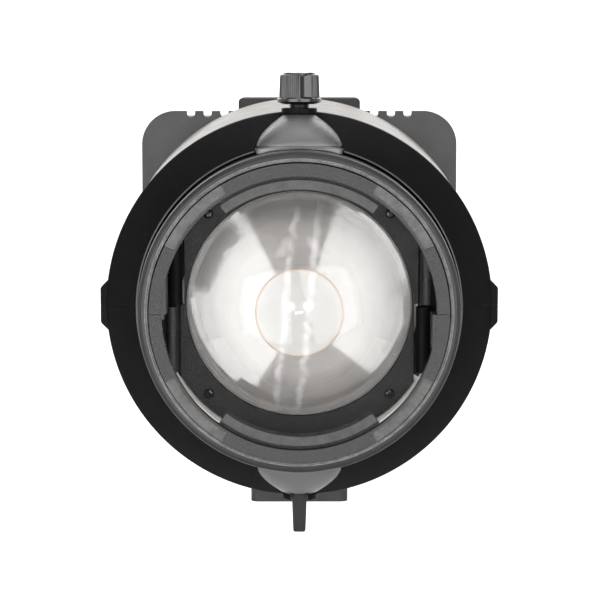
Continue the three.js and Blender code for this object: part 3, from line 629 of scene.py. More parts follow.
def opal(name, color):
    """Opal disc with a soft cloudiness and a clear coat."""
    look = Look(name, color, 0.35, Coat_Weight=0.25, Coat_Roughness=0.05)
    cloud = look.noise(60.0, 4.0)
    angle, radius, depth = around_axis(look)
    tone = look.tones(cloud, 0.95, 1.03)
    rim = look.level(radius, 0.0, 0.8, at=(0.0254, 0.0262))
    look.set(Base_Color=look.mix(rim, tone, (0.3, 0.17, 0.08, 1.0)))
    look.bump(cloud, 0.0002, 0.1)
    return look.material


BLACK = (0.0024, 0.0023, 0.0023)
MATERIALS = {
    "shell_black": painted("satin_black", BLACK, 0.5, worn=(0.02, 0.02, 0.02), gloss=0.04),
    "ring_grey": cast_grey("cast_grey", (0.0105, 0.0103, 0.0101)),
    "plate_black": painted("powder_black", (0.004, 0.004, 0.004), 0.5, grain=0.0005, specks=0.6, gloss=0.35),
    "pale_grey": painted("pale_paint", (0.125, 0.115, 0.107), 0.45, worn=(0.5, 0.48, 0.47)),
    "housing_grey": painted("housing_paint", (0.009, 0.0088, 0.0086), 0.5, grain=0.00015,
                            worn=(0.1, 0.1, 0.1), specks=0.1, gloss=0.45),
    "lens_glass": clear_glass("lens_glass"),
    "cone_satin": lens_ribs("lens_ribs", (0.2, 0.1885, 0.185)),
    "opal_white": opal("opal_white", (0.24, 0.236, 0.231)),
    "heatsink_aluminium": turned_metal("satin_aluminium", (0.6, 0.6, 0.61), 0.35),
    "steel": steel("ground_steel", (0.55, 0.55, 0.55), 0.3),
    "dark_steel": steel("black_oxide", (0.012, 0.012, 0.012), 0.16, 0.3),
    "black_plastic": plastic("black_plastic", (0.0035, 0.0035, 0.0035), 0.22),
    "screen_black": plastic("screen_black", (0.008, 0.009, 0.01), 0.12, grain=0.000004),
    "board_green": plastic("solder_mask", (0.02, 0.11, 0.05), 0.4),
    "phosphor": plastic("phosphor", (0.85, 0.62, 0.1), 0.6),
}
SCUFF = scuffed("scuffed_metal", (0.034, 0.033, 0.0325))
TAB_SCUFF = scuffed("scuffed_tab", (0.02, 0.0195, 0.019))
# Lighter, glossier copy of the shell's black paint for the bells: the lighter tone is painted light for the
# bright bands on the bells.
BOSS_LIT_PAINT = painted("boss_lit_powder", (0.014, 0.0137, 0.0137), 0.38, grain=0.0001, specks=0.3, gloss=1.0)
WORN_GREY = (0.05, 0.05, 0.05)
SLEEVE_PAINT = painted("sleeve_paint", (0.0035, 0.0034, 0.0034), 0.42, 0.00006, WORN_GREY, gloss=0.3)
PALE_INSIDE = painted("pale_inside", (0.62, 0.6, 0.585), 0.4, worn=(0.75, 0.74, 0.73))
BRIGHT_EDGE = scuffed("bright_edge", (0.07, 0.069, 0.067))
LEVER_PAINT = painted("lever_paint", (0.003, 0.0029, 0.0029), 0.45, worn=WORN_GREY, gloss=0.2)
MODULE_PAINT = painted("module_paint", (0.007, 0.0068, 0.0067), 0.5, worn=WORN_GREY, gloss=0.3)
# Glossier paint on the shell's front lip: its gloss catches the lamps, and its lighter tone is a painted
# highlight for the bright line along the lip.
LIP_HIGHLIGHT_PAINT = painted("lip_highlight_paint", (0.01, 0.0098, 0.0097), 0.4, gloss=0.5)
RUBBED_RIM = scuffed("rubbed_rim", (0.11, 0.108, 0.105))
GROUND_EDGE = painted("ground_glass", (0.4, 0.395, 0.39), 0.3)

SLOT_OF = {row["node"]: row["material_slot"] for row in frame["record"]["subparts"]}
for node_name, node_object in frame["nodes"].items():
    node_object.data.materials.clear()
    node_object.data.materials.append(MATERIALS[SLOT_OF[node_name]])


def stand_for(obj, node, body="head", material=None):
    """A detailed piece that takes a CAD node's place, finish and body."""
    slot = SLOT_OF[node]
    return finish_piece(obj, "fine_" + node, body, material or MATERIALS[slot], node)


# ---- front shell

def cone_depth(x, z):
    """Depth of the black shell's sloping face at (x, z)."""
    run = (math.hypot(x, z) - CONE_FRONT[0]) / (CONE_REAR[0] - CONE_FRONT[0])
    return CONE_FRONT[1] + max(0.0, min(1.0, run)) * (CONE_REAR[1] - CONE_FRONT[1])


def bell_section(z, margin):
    """Half width, front depth and depth at the edge of the bell at height z."""
    rise = (z - BOSS_FOOT - 3.6) / (PAD_Z - 4 - BOSS_FOOT - 3.6)
    rise = max(0.0, min(1.0, rise))
    half = 9.3 + (26.4 - 9.3) * (1 - rise ** 1.9)
    front = BOSS_Y - 10.9 - (25.1 - 10.9) * (1 - rise ** 1.75)
    edge = min(BOSS_Y, cone_depth(half, z))
    return half + margin, front - margin, max(edge, front + 1.5)


def bell_body(side, levels, margin, back):
    """Bell swelling out of the shell: D-shaped sections, flat behind."""
    bm = bmesh.new()
    steps = 28
    rings = []
    for z, shrink in levels:
        half, front, edge = bell_section(z, margin - shrink)
        section = []
        for i in range(steps + 1):
            angle = math.pi * i / steps
            section.append((-half * math.cos(angle), edge - (edge - front) * math.sin(angle) ** 0.9))
        rear = back if back > 0 else edge - back
        section += [(half, rear), (-half, rear)]
        rings.append([bm.verts.new((x, y, z * side)) for x, y in section])
    loft(bm, rings, capped=True)
    return new_object("bell", bm)


def bell_levels():
    """(height, inset) steps: a foot lip, a groove, then the swelling sides."""
    levels = [(BOSS_FOOT, 0.2), (BOSS_FOOT + 2.6, -0.7), (BOSS_FOOT + 3.5, -0.7), (BOSS_FOOT + 3.7, 1.0),
              (BOSS_FOOT + 4.3, 1.0), (BOSS_FOOT + 4.7, 0.1)]
    start, stop, steps = BOSS_FOOT + 5.6, PAD_Z - 4, 16
    return levels + [(start + (stop - start) * i / steps, 0.0) for i in range(steps + 1)]


def pad_profile(side):
    """Round pad over the bell that the knob or lever sits against: (radius, z)."""
    top = PAD_Z - 4.4
    points = [(0, top - 7), (17.5, top - 7), (14.2, top - 3.2), (11.4, top - 0.3), (10.3, top + 0.6),
              (11.0, top + 1.5), (11.0, PAD_Z - 0.4), (10.5, PAD_Z), (0, PAD_Z)]
    return [(radius, z * side) for radius, z in points]


def side_bump_outline(side):
    """Swelling at each end of the shell's seam."""
    root, shoulder, reach = 118.4, 119.8, 124.2
    points = [(root, -15.5), (shoulder, -15.5), (reach, -11), (reach, 11), (shoulder, 15.5), (root, 15.5)]
    return [(x * side, z) for x, z in fillet_loop(points, 1.2)]


def half_block(side):
    """Block that keeps the upper or the lower half of a ring, clear of the seam."""
    near, far = GAP / 2, 200
    low = near if side > 0 else -far
    high = far if side > 0 else -near
    return block("half", (-far, -far, low), (far, far, high))


def on_boss(point):
    """Whether a point of the shell is on a bell."""
    proud = point.y < cone_depth(point.x, point.z) - 0.15 or math.hypot(point.x, point.z) > CONE_REAR[0] + 0.1
    return proud and abs(point.x) < 28.5 and BOSS_FOOT - 1 < abs(point.z) < PAD_Z - 4.3


def shell_slot(centre, radius, face):
    # Bell faces take the lighter copy of the shell paint, a painted light tone.
    if on_boss(centre):
        return 1
    # Front lip faces take the lip paint, whose lighter tone is a painted highlight.
    return 2 if centre.y < CONE_FRONT[1] + 1.4 and radius < CONE_FRONT[0] + 0.8 else None


def front_shells():
    profile = fillet_loop([
        CONE_FRONT, CONE_REAR, (CONE_REAR[0], SHELL_REAR_Y), (117.6, SHELL_REAR_Y), (117.6, 51.5), (98.8, 34),
    ], 1.3, 4)
    for side, node in ((1, "front_shell_upper"), (-1, "front_shell_lower")):
        shell = lathe("shell", profile)
        bell = bell_body(side, bell_levels(), 0, BOSS_Y)
        join(bell, solid("pad", pad_profile(side), "z", (0, BOSS_Y), 96))
        combine(bell, block("keep", (-60, 0, -140), (60, SHELL_REAR_Y - 0.4, 140)), operation="INTERSECT")
        inside = solid("inside", [
            (0, 0), (98.3, 0), (98.3, 37.4), (103.7, 37.4), (103.7, 44.3), (94, 44.3), (94, 59.7),
            (117.5, 59.7), (117.5, 80), (0, 80),
        ])
        cut(bell, inside)
        groove = [(BOSS_FOOT - 1, -0.5), (BOSS_FOOT + 5, -0.5)] + bell_levels()[6:-2]
        cut(shell, bell_body(side, groove, 0.75, -0.8))
        join(shell, bell)
        for flank in (-1, 1):
            join(shell, prism("bump", side_bump_outline(flank), 51, SHELL_REAR_Y - 0.3))
        combine(shell, half_block(side), operation="INTERSECT")
        if side > 0:
            cut(shell, bore((0, BOSS_Y), 6.8, 90, 126, 48, "z"))
        else:
            cut(shell, block("slot", (-5.3, 40.2, -PAD_Z - 2), (5.3, 60.4, -92)))
            cut(shell, bore(LEVER_PIN, 2.3, -12.4, 12.4, 24, "x"))
        bevel(shell, 0.35)
        coat(shell, MATERIALS["shell_black"], BOSS_LIT_PAINT, LIP_HIGHLIGHT_PAINT)
        choose_slots(shell, shell_slot)
        stand_for(shell, node)


# ---- mount ring

RECESSES = (27, 121, 207, 301)      # where each scuffed recess starts, in degrees
RECESS_SPAN = 32
RECESS_DEPTH = 1.6
TAB_IN, TAB_OUT, TAB_FRONT, TAB_REAR = 75, 80.6, 3.5, 16
TAB_HALF = 36                       # half of the locking tab, in degrees
RELIEF_R, RELIEF_Y = 88.4, 9        # wider bore in the rear of the ring
FLAT_X, FLAT_TOP = 80, 24           # flat at each end of the ring's opening


def ring_slot(centre, radius, face):
    if face.normal.y >= -0.8:
        return None
    if abs(centre.y - TAB_FRONT) < 0.3 and radius < TAB_OUT + 0.4:
        return 2
    return 1 if abs(centre.y - RECESS_DEPTH) < 0.35 and radius > RING_IN + 1.4 else None


def mount_rings():
    body = fillet_loop([
        (RING_IN, 0), (RING_OUT, 0), (RING_OUT, RING_DEPTH), (RELIEF_R, RING_DEPTH), (RELIEF_R, RELIEF_Y),
        (RING_IN, 6),
    ], 0.5)
    for side, node in ((1, "mount_ring_upper"), (-1, "mount_ring_lower")):
        ring = lathe("ring", body)
        for start in RECESSES:
            if (start < 180) != (side > 0):
                continue
            outline = arc_outline(RING_IN + 1.6, RING_OUT + 1, start, start + RECESS_SPAN, 1.4)
            cut(ring, prism("recess", outline, -1, RECESS_DEPTH))
        middle = 90 * side
        inner = arc_outline(TAB_IN, TAB_OUT, middle - TAB_HALF, middle + TAB_HALF, 1.2)
        join(ring, prism("tab", inner, TAB_FRONT, TAB_REAR))
        outer = arc_outline(TAB_OUT - 0.5, RELIEF_R + 1, middle - TAB_HALF + 0.4, middle + TAB_HALF - 0.4)
        join(ring, prism("web", outer, TAB_FRONT + 3, TAB_REAR))
        low, high = sorted((-side * FLAT_X, -side * (FLAT_X + 4)))
        reach = sorted((0, FLAT_TOP * side))
        flat = block("flat", (low, 0.2, reach[0]), (high, RING_DEPTH - 0.2, reach[1]))
        combine(flat, bore((0, 0), RING_IN + 0.5, -1, 30, ROUND), operation="INTERSECT")
        join(ring, flat)
        combine(ring, half_block(side), operation="INTERSECT")
        tooth = (-83.4, -1, -2.9), (-81.2, 9, 1)
        if side > 0:
            join(ring, block("tooth", (tooth[0][0], 0.2, tooth[0][2]), (tooth[1][0], 9, tooth[1][2])))
        else:
            cut(ring, block("notch", (tooth[0][0] - GAP, -1, tooth[0][2] - GAP), (tooth[1][0] + 3, 9.3, 1)))
            cut(ring, block("bore", (-2.4, 5, -89.2), (2.4, 21, -84.2)))
        coat(ring, MATERIALS["ring_grey"], SCUFF, TAB_SCUFF, BRIGHT_EDGE)
        bevel(ring, 0.3, material=3)
        choose_slots(ring, ring_slot)
        stand_for(ring, node)


def latch_way():
    """Slot that the latch slider runs in."""
    return block("way", (-3.8, 30, -105), (3.8, 53, -83.6))


def sleeve_slot(centre, radius, face):
    if centre.y < 5 and radius < 93.4:
        return 1
    # The pale tone on the lower inner faces only, the part that faces up to the light, is painted light.
    return 2 if radius < 91.4 and centre.z < -0.43 * abs(centre.x) else None


def mount_sleeve():
    profile = fillet_loop([
        (91.2, 4.6), (91.7, 3.9), (92.2, 4.5), (92.7, 4.0), (93.3, 4.9), (95.2, 5.2), (97.4, 6.4), (98, 8.5),
        (98, 37.8), (103.4, 40), (103.4, 44), (91.2, 44),
    ], 0.15)
    sleeve = lathe("sleeve", profile)
    cut(sleeve, latch_way())
    coat(sleeve, SLEEVE_PAINT, RUBBED_RIM, PALE_INSIDE)
    choose_slots(sleeve, sleeve_slot)
    stand_for(sleeve, "mount_sleeve")


# ---- lens cell and its plate

def screw_points():
    return [(sx * PLATE_SCREW, sz * PLATE_SCREW) for sx in (-1, 1) for sz in (-1, 1)]


def paint_shade_beside_columns(obj, slope):
    """Black painted shade on the pale metal beside the clamp columns, out to a line of this slope, and above.
    """
    coat(obj, PALE_INSIDE, MATERIALS["plate_black"])
    choose_slots(obj, lambda at, radius, face: int(abs(at.z) < slope * abs(at.x) or at.z > 20))


def lens_cell():
    wall = lathe("wall", fillet_loop([
        (CELL_IN, CELL_Y[0]), (CELL_OUT, CELL_Y[0]), (CELL_OUT, CELL_Y[1]), (CELL_IN, CELL_Y[1]),
    ], 0.5))
    cut(wall, latch_way())
    paint_shade_beside_columns(wall, 0.43)
    stand_for(wall, "lens_cell")
    seat = lathe("seat", fillet_loop([
        (75.2, 59.3), (CELL_OUT, 59.3), (CELL_OUT, 60), (117.2, 60), (117.2, 63.9), (66, 63.9),
        (66, 62.8), (75.2, 62.8),
    ], 0.3))
    for x, z in screw_points():
        cut(seat, bore((x, z), 1.8, 58, 65, 20))
    paint_shade_beside_columns(seat, 0.62)
    stand_for(seat, "lens_seat")


def retainer_plate():
    y0, y1 = PLATE_Y
    plate = lathe("plate", [(70.9, y0 + 0.5), (71.5, y0), (PLATE_OUT, y0), (PLATE_OUT, y1), (70.9, y1)])
    far, near, edge = 74.7, 72, 95
    for low, high in (
        ((-edge, 0), (-near, edge)), ((-edge, -edge), (-far, 0)),
        ((far, 0), (edge, edge)), ((near, -edge), (edge, 0)),
    ):
        cut(plate, block("cut", (low[0], y0 - 1, low[1]), (high[0], y1 + 1, high[1])))
    for x, z in screw_points():
        cut(plate, bore((x, z), 1.8, 50, 66, 20))
    bevel(plate, 0.35)
    stand_for(plate, "lens_retainer_plate")


def cross_screw(x, y, z, radius, height, shank, length, turn, towards=1):
    """Domed screw with a cross recess; the head faces -y, or +y when towards is -1."""
    def level(d):
        return y + d * towards

    dome = [(0, level(0)), (radius * 0.45, level(height * 0.06)), (radius * 0.8, level(height * 0.34)),
            (radius, level(height * 0.75)), (radius, level(height)), (shank, level(height)),
            (shank, level(height + length)), (0, level(height + length))]
    screw = solid("screw", dome, "y", (x, z), 40)
    arm, half = radius * 0.62, radius * 0.13
    for angle in (turn, turn + 90):
        c, s = math.cos(math.radians(angle)), math.sin(math.radians(angle))
        outline = [(x + u * c - v * s, z + u * s + v * c)
                   for u, v in ((-arm, -half), (arm, -half), (arm, half), (-arm, half))]
        low, high = sorted((level(-1), level(height * 0.72)))
        cut(screw, prism("slot", outline, low, high))
    return bevel(screw, radius * 0.03, 1)


def plate_screws():
    turns = {"upper_left": 20, "upper_right": 52, "lower_left": 8, "lower_right": 35}
    for where, turn in turns.items():
        node = "plate_screw_" + where
        low, high, middle = span(node)
        stand_for(cross_screw(middle.x, low.y, middle.z, 3.1, 1.7, 1.5, 5.2, turn), node)


# ---- lens

def dome_curve(radius, base_y, apex_y, steps):
    """Quarter ellipse from the apex towards the rim."""
    points = []
    for i in range(steps):
        angle = math.pi / 2 * i / steps
        points.append((radius * math.sin(angle), base_y - (base_y - apex_y) * math.cos(angle)))
    return points


def lens_dome():
    steps = 64
    outer = dome_curve(70.2, 59.4, 1, steps) + [(70.2, 59.4)]
    inner = [(67.4, 60.8)] + dome_curve(67.4, 60.8, 3.5, steps)[::-1]
    dome = solid("dome", outer + [(74.6, 59.4), (74.6, 60.8)] + inner)
    coat(dome, MATERIALS["lens_glass"], GROUND_EDGE)
    choose_slots(dome, lambda at, radius, face: int(radius > 70.1 and at.y < 60.2))
    stand_for(dome, "lens_dome")


def ribbed_cone():
    """Stepped cone: narrow facets that flatten towards the rim, each with a riser behind it."""
    base_r, base_y = 66, 61.1
    ribs = 62
    pitch = (base_r - CONE_TIP_R) / ribs
    profile = []
    for i in range(ribs):
        inner_r = CONE_TIP_R + i * pitch
        start_y = CONE_TIP_Y + (base_y - CONE_TIP_Y) * i / ribs
        profile.append((inner_r + 0.02, start_y))
        facet = math.radians(8.0 - 0.043 * inner_r)
        profile.append((inner_r + pitch, start_y + pitch * math.tan(facet)))
    for i in range(6):
        inner_r = base_r + 0.7 * i
        profile += [(inner_r, base_y - 0.08), (inner_r + 0.68, base_y - 0.02)]
    profile += [(70.4, base_y), (74.6, base_y), (74.6, base_y + 1.3), (base_r - 1.6, base_y + 1.3),
                (CONE_TIP_R - 1.6, CONE_TIP_Y + 1.3), (CONE_TIP_R - 1.6, CONE_TIP_Y)]
    cone = lathe("cone", profile, segments=256)
    stand_for(cone, "fresnel_cone")


def diffuser_disc():
    rim = CONE_TIP_R - 0.2
    proud = ((0, 1.6), (8, 1.55), (16, 1.35), (22, 1.08), (25.2, 0.86), (rim, 0.6), (rim, GAP), (0, GAP))
    disc = solid("disc", [(radius, CONE_TIP_Y - height) for radius, height in proud])
    stand_for(disc, "diffuser_disc")


# ---- columns

def clamp_columns():
    for name, side in (("left", -1), ("right", 1)):
        up = -side
        for node, x, radius, sign in (
            (f"clamp_column_{name}", 77.7 * side, 5.1, up), (f"clamp_screw_{name}", 79.6 * side, 3.3, -up),
        ):
            near, far = 0.4 * sign, 42 * sign
            profile = [(0, near), (radius - 0.5, near), (radius, near + 0.5 * sign), (radius, far), (0, far)]
            column = solid("column", profile, "z", (x, 47.5), ROUND_SMALL)
            room = [(0, 20.5), (90.9, 20.5), (90.9, 43.3), (87.9, 43.3), (87.9, 55.9), (0, 55.9)]
            combine(column, solid("room", room), operation="INTERSECT")
            bevel(column, 0.25)
            stand_for(column, node)


# ---- barrel

def barrel():
    front_r, rear_r = 119.2, 126
    profile = fillet_loop([(front_r, 64.4), (rear_r - 0.3, 236.5), (rear_r, 237.5), (rear_r, 240),
                           (rear_r - 2.5, 240), (front_r - 2.5, 64.4)], 0.5)
    stand_for(lathe("barrel", profile), "barrel")
    ring = fillet_loop([(78, 240.4), (125.4, 240.4), (125.4, 243.6), (78, 243.6)], 0.4)
    rear = lathe("rear", ring)
    cut(rear, bore(FOCUS_SCREW, 4.4, 200, 330, 24))
    stand_for(rear, "barrel_rear_ring")


# ---- rear housing

HOUSING = head_box("housing_front_plate")
HOUSING_WIDTH = HOUSING[1].x - HOUSING[0].x
HOUSING_HEIGHT = HOUSING[1].z - HOUSING[0].z
BOX_WIDTH = HOUSING_WIDTH - 4.8
BOX_HEIGHT = HOUSING_HEIGHT - 9.6


def housing_front_plate():
    outline = rounded_rect(HOUSING_WIDTH, HOUSING_HEIGHT, 24, steps=20)
    plate = prism("plate", outline, HOUSING_FRONT, HOUSING_PLATE)
    cut(plate, bore((0, 0), 78, 240, 250, ROUND))
    cut(plate, bore(FOCUS_SCREW, 4.4, 240, 250, 24))
    top = HOUSING_HEIGHT / 2
    width, depth = 5.8, 4.4
    for at in (53.5, 65.5, 77.3):
        for x in (at, -at):
            floor = top - depth + width / 2
            outline = [(x + width / 2, top + 1), (x - width / 2, top + 1)]
            steps = 12
            for i in range(steps + 1):
                angle = math.pi * (1 + i / steps)
                outline.append((x + width / 2 * math.cos(angle), floor + width / 2 * math.sin(angle)))
            cut(plate, prism("notch", outline, 240, 250))
    bevel(plate, 0.5)
    stand_for(plate, "housing_front_plate")


def rear_housing():
    wall = 2.6
    body = prism("body", rounded_rect(BOX_WIDTH, BOX_HEIGHT, 22, steps=20), HOUSING_PLATE + GAP, HOUSING_REAR)
    hollow = rounded_rect(BOX_WIDTH - 2 * wall, BOX_HEIGHT - 2 * wall, 22 - wall, steps=20)
    cut(body, prism("hollow", hollow, HOUSING_PLATE - 2, HOUSING_REAR + 2))
    vent_front, vent_rear = HOUSING_PLATE + 14, HOUSING_REAR - 12
    for z in range(-60, 61, 20):
        slot = rounded_rect(vent_rear - vent_front, 4, 1.9, (vent_front + vent_rear) / 2, z, 6)
        cut(body, prism("vent", slot, -BOX_WIDTH, BOX_WIDTH, axis="x"))
    bevel(body, 0.4)
    stand_for(body, "rear_housing")
    stand_for(bevel(slab("module", "top_module", 3, 6), 0.8, 3), "top_module", material=MODULE_PAINT)


def rear_cover():
    y0, y1 = COVER_Y
    cover = prism("cover", rounded_rect(BOX_WIDTH, BOX_HEIGHT, 22, steps=20), y0, y1)
    slots, grille_top, grille_radius = 9, 39, 44
    for i in range(slots):
        z = -grille_top + i * 2 * grille_top / (slots - 1)
        reach = math.sqrt(grille_radius ** 2 - z * z)
        cut(cover, prism("slot", rounded_rect(2 * reach, 4.4, 2.1, 0, z, 6), y0 - 1, y1 + 1))
    for x, z, width, height, radius in ((70, -82, 19, 13, 1), (-70, -82, 27, 20, 3), (0, 82, 56, 30, 2)):
        cut(cover, prism("window", rounded_rect(width, height, radius, x, z), y0 - 1, y1 + 1))
    for x, z, radius in (
        (0, -95, 4.4), (62, 82, 3.4), (-62, 82, 4.8), (-44, 82, 4.8),
        (-96, -60, 1.9), (-96, 60, 1.9), (96, -60, 1.9), (96, 60, 1.9),
    ):
        cut(cover, bore((x, z), radius, y0 - 1, y1 + 1))
    bevel(cover, 0.35)
    stand_for(cover, "rear_cover")


def ribbed_knob(name, centre, radius, y0, y1, ribs, grip=0.8):
    """Knob along Y whose side is ribbed; it turns about its own axis."""
    levels = [(radius - 0.9, y0, 0.0), (radius, y0 + 0.8, 0.0), (radius, y0 + 2.0, 0.0),
              (radius, y0 + 2.6, 1.0), (radius - 0.5, y1 - 1.8, 1.0), (radius - 1.1, y1 - 0.9, 0.3),
              (radius - 2.2, y1, 0.0), (radius - 3.4, y1, 0.0), (radius - 3.9, y1 - 0.5, 0.0)]

    def reach(level_radius, ribbed, angle):
        return level_radius - grip * ribbed * (0.5 - 0.5 * math.cos(ribs * angle)) ** 2

    return grooved(name, levels, ribs * 6, reach, "y", centre)


def controls():
    low, high, middle = span("dimmer_knob")
    x, z = centre = (middle.x, middle.z)
    knob = ribbed_knob("knob", centre, 13, high.y - 13, high.y, 36)
    cut(knob, block("line", (x - 0.6, high.y - 0.9, z + 5), (x + 0.6, high.y + 1, z + 12)))
    join(knob, bore(centre, 3, low.y, high.y - 12, 24))
    stand_for(knob, "dimmer_knob", "dimmer")
    low, high = head_box("focus_knob")
    focus = ribbed_knob("knob", FOCUS_SCREW, 14, low.y, high.y, 40)
    cut(focus, bore(FOCUS_SCREW, 4.3, 300, 327.4, 24))
    stand_for(focus, "focus_knob", "focus_drive")
    for node in ("button_1", "button_2"):
        low, high, middle = span(node)
        profile = [(0, low.y), (4.5, low.y), (4.5, high.y - 0.8), (4.1, high.y - 0.2), (3.4, high.y),
                   (0, high.y - 0.5)]
        stand_for(solid("button", profile, "y", (middle.x, middle.z), ROUND_SMALL), node, node)
    low, high, middle = span("rocker_bezel")
    bezel = slab("bezel", "rocker_bezel", 1)
    cut(bezel, prism("hollow", rounded_rect(15, 9, 0.8, middle.x, middle.z), 303, high.y + 1))
    stand_for(bevel(bezel, 0.3), "rocker_bezel")
    low, high, middle = span("power_inlet")
    x, z = middle.x, middle.z
    inlet = slab("inlet", "power_inlet", 3)
    cut(inlet, prism("hollow", rounded_rect(21, 14, 2, x, z), 298, high.y + 1))
    for dx, dz in ((-7, 0), (0, 3), (7, 0)):
        join(inlet, block("pin", (x + dx - 1, 296, z + dz - 2), (x + dx + 1, 311, z + dz + 2)))
    stand_for(bevel(inlet, 0.3), "power_inlet")
    stand_for(bevel(slab("window", "display_window", 2), 0.25), "display_window")
    for index, where in enumerate(("upper_left", "upper_right", "lower_left", "lower_right")):
        node = "cover_screw_" + where
        low, high, middle = span(node)
        screw = cross_screw(middle.x, high.y, middle.z, 3.2, 1.8, 1.6, 8.8, 17 * index, -1)
        stand_for(screw, node)


def mounting_foot():
    low, high, middle = span("mounting_foot")
    outline = rounded_rect(high.x - low.x, high.y - low.y, 5, 0, middle.y, 6)
    foot = prism("foot", outline, low.z, -100, axis="z")
    cut(foot, solid("room", [(0, 0), (119.5, 64), (126.3, 240.3), (0, 240)]))
    for dx in (-20, 20):
        cut(foot, bore((dx, middle.y), 3.3, low.z - 1, low.z + 8, axis="z"))
    stand_for(bevel(foot, 0.8), "mounting_foot")


# ---- lock knob and lever

def lock_knob():
    """Knurled knob with three smooth finger scallops, turned about a vertical axis."""
    low, high = head_box("lock_knob")
    bottom, top = low.z, high.z
    samples = 540
    knurls = 66
    levels = [
        (6.8, bottom, 0), (10.2, bottom, 0), (13.2, bottom + 1.1, 0), (13.7, bottom + 1.6, 0),
        (13.7, bottom + 3.3, 0), (13.3, bottom + 3.8, 0), (12.5, bottom + 4.0, 0.2), (12.6, bottom + 4.5, 1),
        (12.1, top - 2.4, 1), (11.9, top - 1.7, 0.6), (11.3, top - 1.25, 0), (10.1, top - 1.15, 0),
        (9.9, top - 0.35, 0), (9.4, top, 0), (4.0, top, 0), (3.6, top - 0.3, 0),
    ]

    def reach(radius, grip, angle):
        ridge = 0.5 + 0.5 * math.cos(knurls * angle)
        r = radius - 0.34 * grip * (1 - ridge ** 1.5)
        for scallop in (-70, 50, 170):
            away = (math.degrees(angle) - scallop + 180) % 360 - 180
            if abs(away) < 20 and grip:
                r = min(r, radius - grip * max(0.0, 1.5 * math.cos(math.radians(away * 4.5))))
        return r

    knob = grooved("knob", levels, samples, reach, "z", (0, BOSS_Y))
    cut(knob, bore((0, BOSS_Y), 6.7, bottom - 1, top - 5, 48, "z"))
    stand_for(knob, "lock_knob", "lock_screw")


def lock_spindle():
    """Threaded stud: rings of thread on a plain core."""
    low, high = head_box("lock_spindle")
    pitch, core, crest = 1.25, 5.7, 6.35
    profile = [(0, low.z), (core - 0.6, low.z), (core, low.z + 0.8)]
    z = low.z + 1.2
    while z + pitch < high.z - 0.5:
        profile += [(core, z), (crest, z + pitch * 0.4), (crest, z + pitch * 0.55), (core, z + pitch * 0.95)]
        z += pitch
    profile += [(core, high.z), (0, high.z)]
    stand_for(solid("spindle", profile, "z", (0, BOSS_Y), ROUND_SMALL), "lock_spindle", "lock_screw")


def release_lever():
    low, high = head_box("release_lever")
    outline = fillet_loop([
        (-4.4, high.z), (4.4, high.z), (4.7, -PAD_Z), (3.9, low.z), (-3.9, low.z), (-4.7, -PAD_Z),
    ], 1.6, 5)
    lever = prism("lever", outline, low.y, high.y)
    cut(lever, bore(LEVER_PIN, 2.3, -6, 6, axis="x"))
    front, tip, dish_top = low.y - 3, low.z - 1, -133
    thumb = [(front, tip), (low.y + 1.1, tip), (low.y - 0.2, dish_top), (front, dish_top)]
    cut(lever, prism("thumb", thumb, -10, 10, axis="x"))
    stand_for(bevel(lever, 0.7, 3), "release_lever", "lever", LEVER_PAINT)


# ---- stage, camera

EYE_DISTANCE = 1.2
EYE_HEIGHT = 0.1458
EYE_TILT = math.radians(6.62)
EYE_PAN = math.radians(0.134)
EYE_LENS = 119.3
PANEL_DISTANCE = 1.5        # softboxes stand this far in front of the mount ring


def camera():
    data = bpy.data.cameras.new("camera")
    data.lens = EYE_LENS
    data.sensor_width = 36
    data.clip_end = 50
    eye = link("camera", data)
    eye.location = (0, FRONT_Y - EYE_DISTANCE, AXIS_Z + EYE_HEIGHT)
    eye.rotation_euler = (math.pi / 2 - EYE_TILT, 0, -EYE_PAN)
    bpy.context.scene.camera = eye


def softbox(name, place, width, height, radiance, target, roll=0.0, shape="RECTANGLE"):
    """Even light panel; radiance is what a camera would see if it looked at the panel."""
    data = bpy.data.lights.new(name, "AREA")
    data.shape = shape
    data.size = width
    data.size_y = height
    area = width * height * (math.pi / 4 if shape == "ELLIPSE" else 1.0)
    data.energy = radiance * math.pi * area
    lamp = link(name, data)
    lamp.location = place
    aim = Vector(target) - Vector(place)
    lamp.rotation_euler = (aim.to_track_quat("-Z", "Y") @ Quaternion((0, 0, 1), roll)).to_euler()
    lamp.visible_camera = False


def stage():
    """Pale round studio: a floor that curves up into its wall, well clear of the held head."""
    floor_z, radius, bend = -0.9, 3.6, 1.2
    path = [(0.0, floor_z), (radius - bend, floor_z)]
    steps = 16
    for i in range(1, steps + 1):
        angle = math.pi / 2 * i / steps
        path.append((radius - bend + bend * math.sin(angle), floor_z + bend * (1 - math.cos(angle))))
    path.append((radius, floor_z + 5))
    floor = solid("studio_floor", path, "z", segments=96)
    look = Look("pale_floor", (0.62, 0.62, 0.62), 0.9, Specular_IOR_Level=0.2)
    look.set(Base_Color=look.ramp(look.noise(3.0, 3.0), (0.61, 0.61, 0.61), (0.63, 0.63, 0.63)))
    floor.data.materials.append(look.material)
    floor.data.shade_smooth()


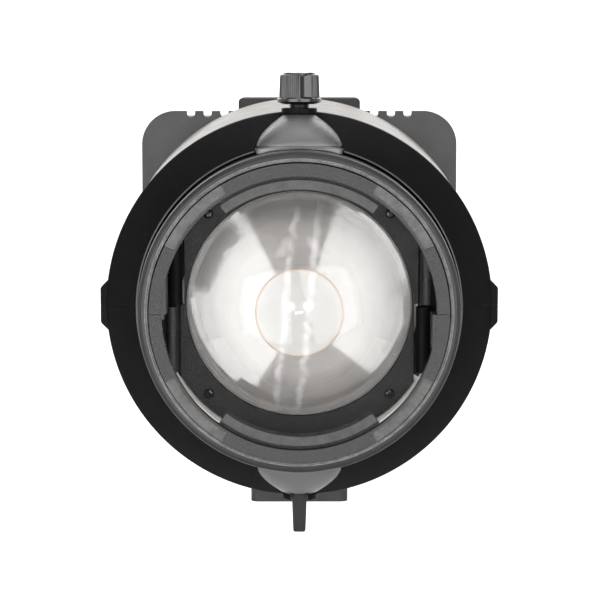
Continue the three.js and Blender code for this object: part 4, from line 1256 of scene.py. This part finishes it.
def panel(name, side, edge, lean, radiance):
    """Tall softbox beyond the camera. Its inner edge passes edge = (x, z), leaning by lean degrees."""
    width, height, lift = 1.9, 2.2, -0.2
    tilt = math.radians(lean)
    outward = Vector((math.cos(tilt), 0, math.sin(tilt))) * side
    upward = Vector((-math.sin(tilt), 0, math.cos(tilt)))
    corner = Vector((edge[0], FRONT_Y - PANEL_DISTANCE, AXIS_Z + edge[1]))
    middle = corner + outward * (width / 2) + upward * lift
    softbox(name, middle, width, height, radiance, middle + Vector((0, 1, 0)), tilt)


OVERHEAD_RADIANCE = 7.0


def lights():
    world = bpy.data.worlds.new("studio")
    world.use_nodes = True
    sky = world.node_tree.nodes["Background"]
    sky.inputs["Color"].default_value = (1.0, 1.0, 1.0, 1.0)
    sky.inputs["Strength"].default_value = 0.16
    bpy.context.scene.world = world
    panel("softbox_left", -1, (-0.226, 0.14), 1.1, 5.8)
    panel("softbox_right", 1, (0.174, 0.165), 12.4, 5.2)
    lens = (0, FRONT_Y, AXIS_Z)
    for side in (-1, 1):
        glint = (0.053 * side, FRONT_Y - 1.45, AXIS_Z - 0.137)
        softbox("modelling_lamp", glint, 0.05, 0.05, 60, lens, shape="ELLIPSE")
    for side, name in ((-1, "overhead_left"), (1, "overhead_right")):
        middle = (0.33 * side, FRONT_Y - 0.75, AXIS_Z + 1.75)
        softbox(name, middle, 0.28, 1.3, OVERHEAD_RADIANCE, lens)
    softbox("top_light", (0, FRONT_Y + 0.5, AXIS_Z + 1.8), 1.6, 1.2, 1.0, (0, FRONT_Y + 0.1, AXIS_Z))
    for side, name in ((-1, "rear_left"), (1, "rear_right")):
        middle = (1.5 * side, FRONT_Y + 2.3, AXIS_Z + 1.1)
        softbox(name, middle, 1.6, 1.6, 2.4, (0, 0, AXIS_Z))
    softbox("back_wall_light", (0, 1.2, 2.6), 4.0, 1.5, 10, (0, 3.2, 0.0))
    bpy.context.scene.view_settings.view_transform = "Standard"


camera()
stage()
lights()
front_shells()
mount_rings()
mount_sleeve()
lens_cell()
retainer_plate()
plate_screws()
lens_dome()
ribbed_cone()
diffuser_disc()
clamp_columns()
barrel()
housing_front_plate()
rear_housing()
rear_cover()
controls()
mounting_foot()
lock_knob()
lock_spindle()
release_lever()
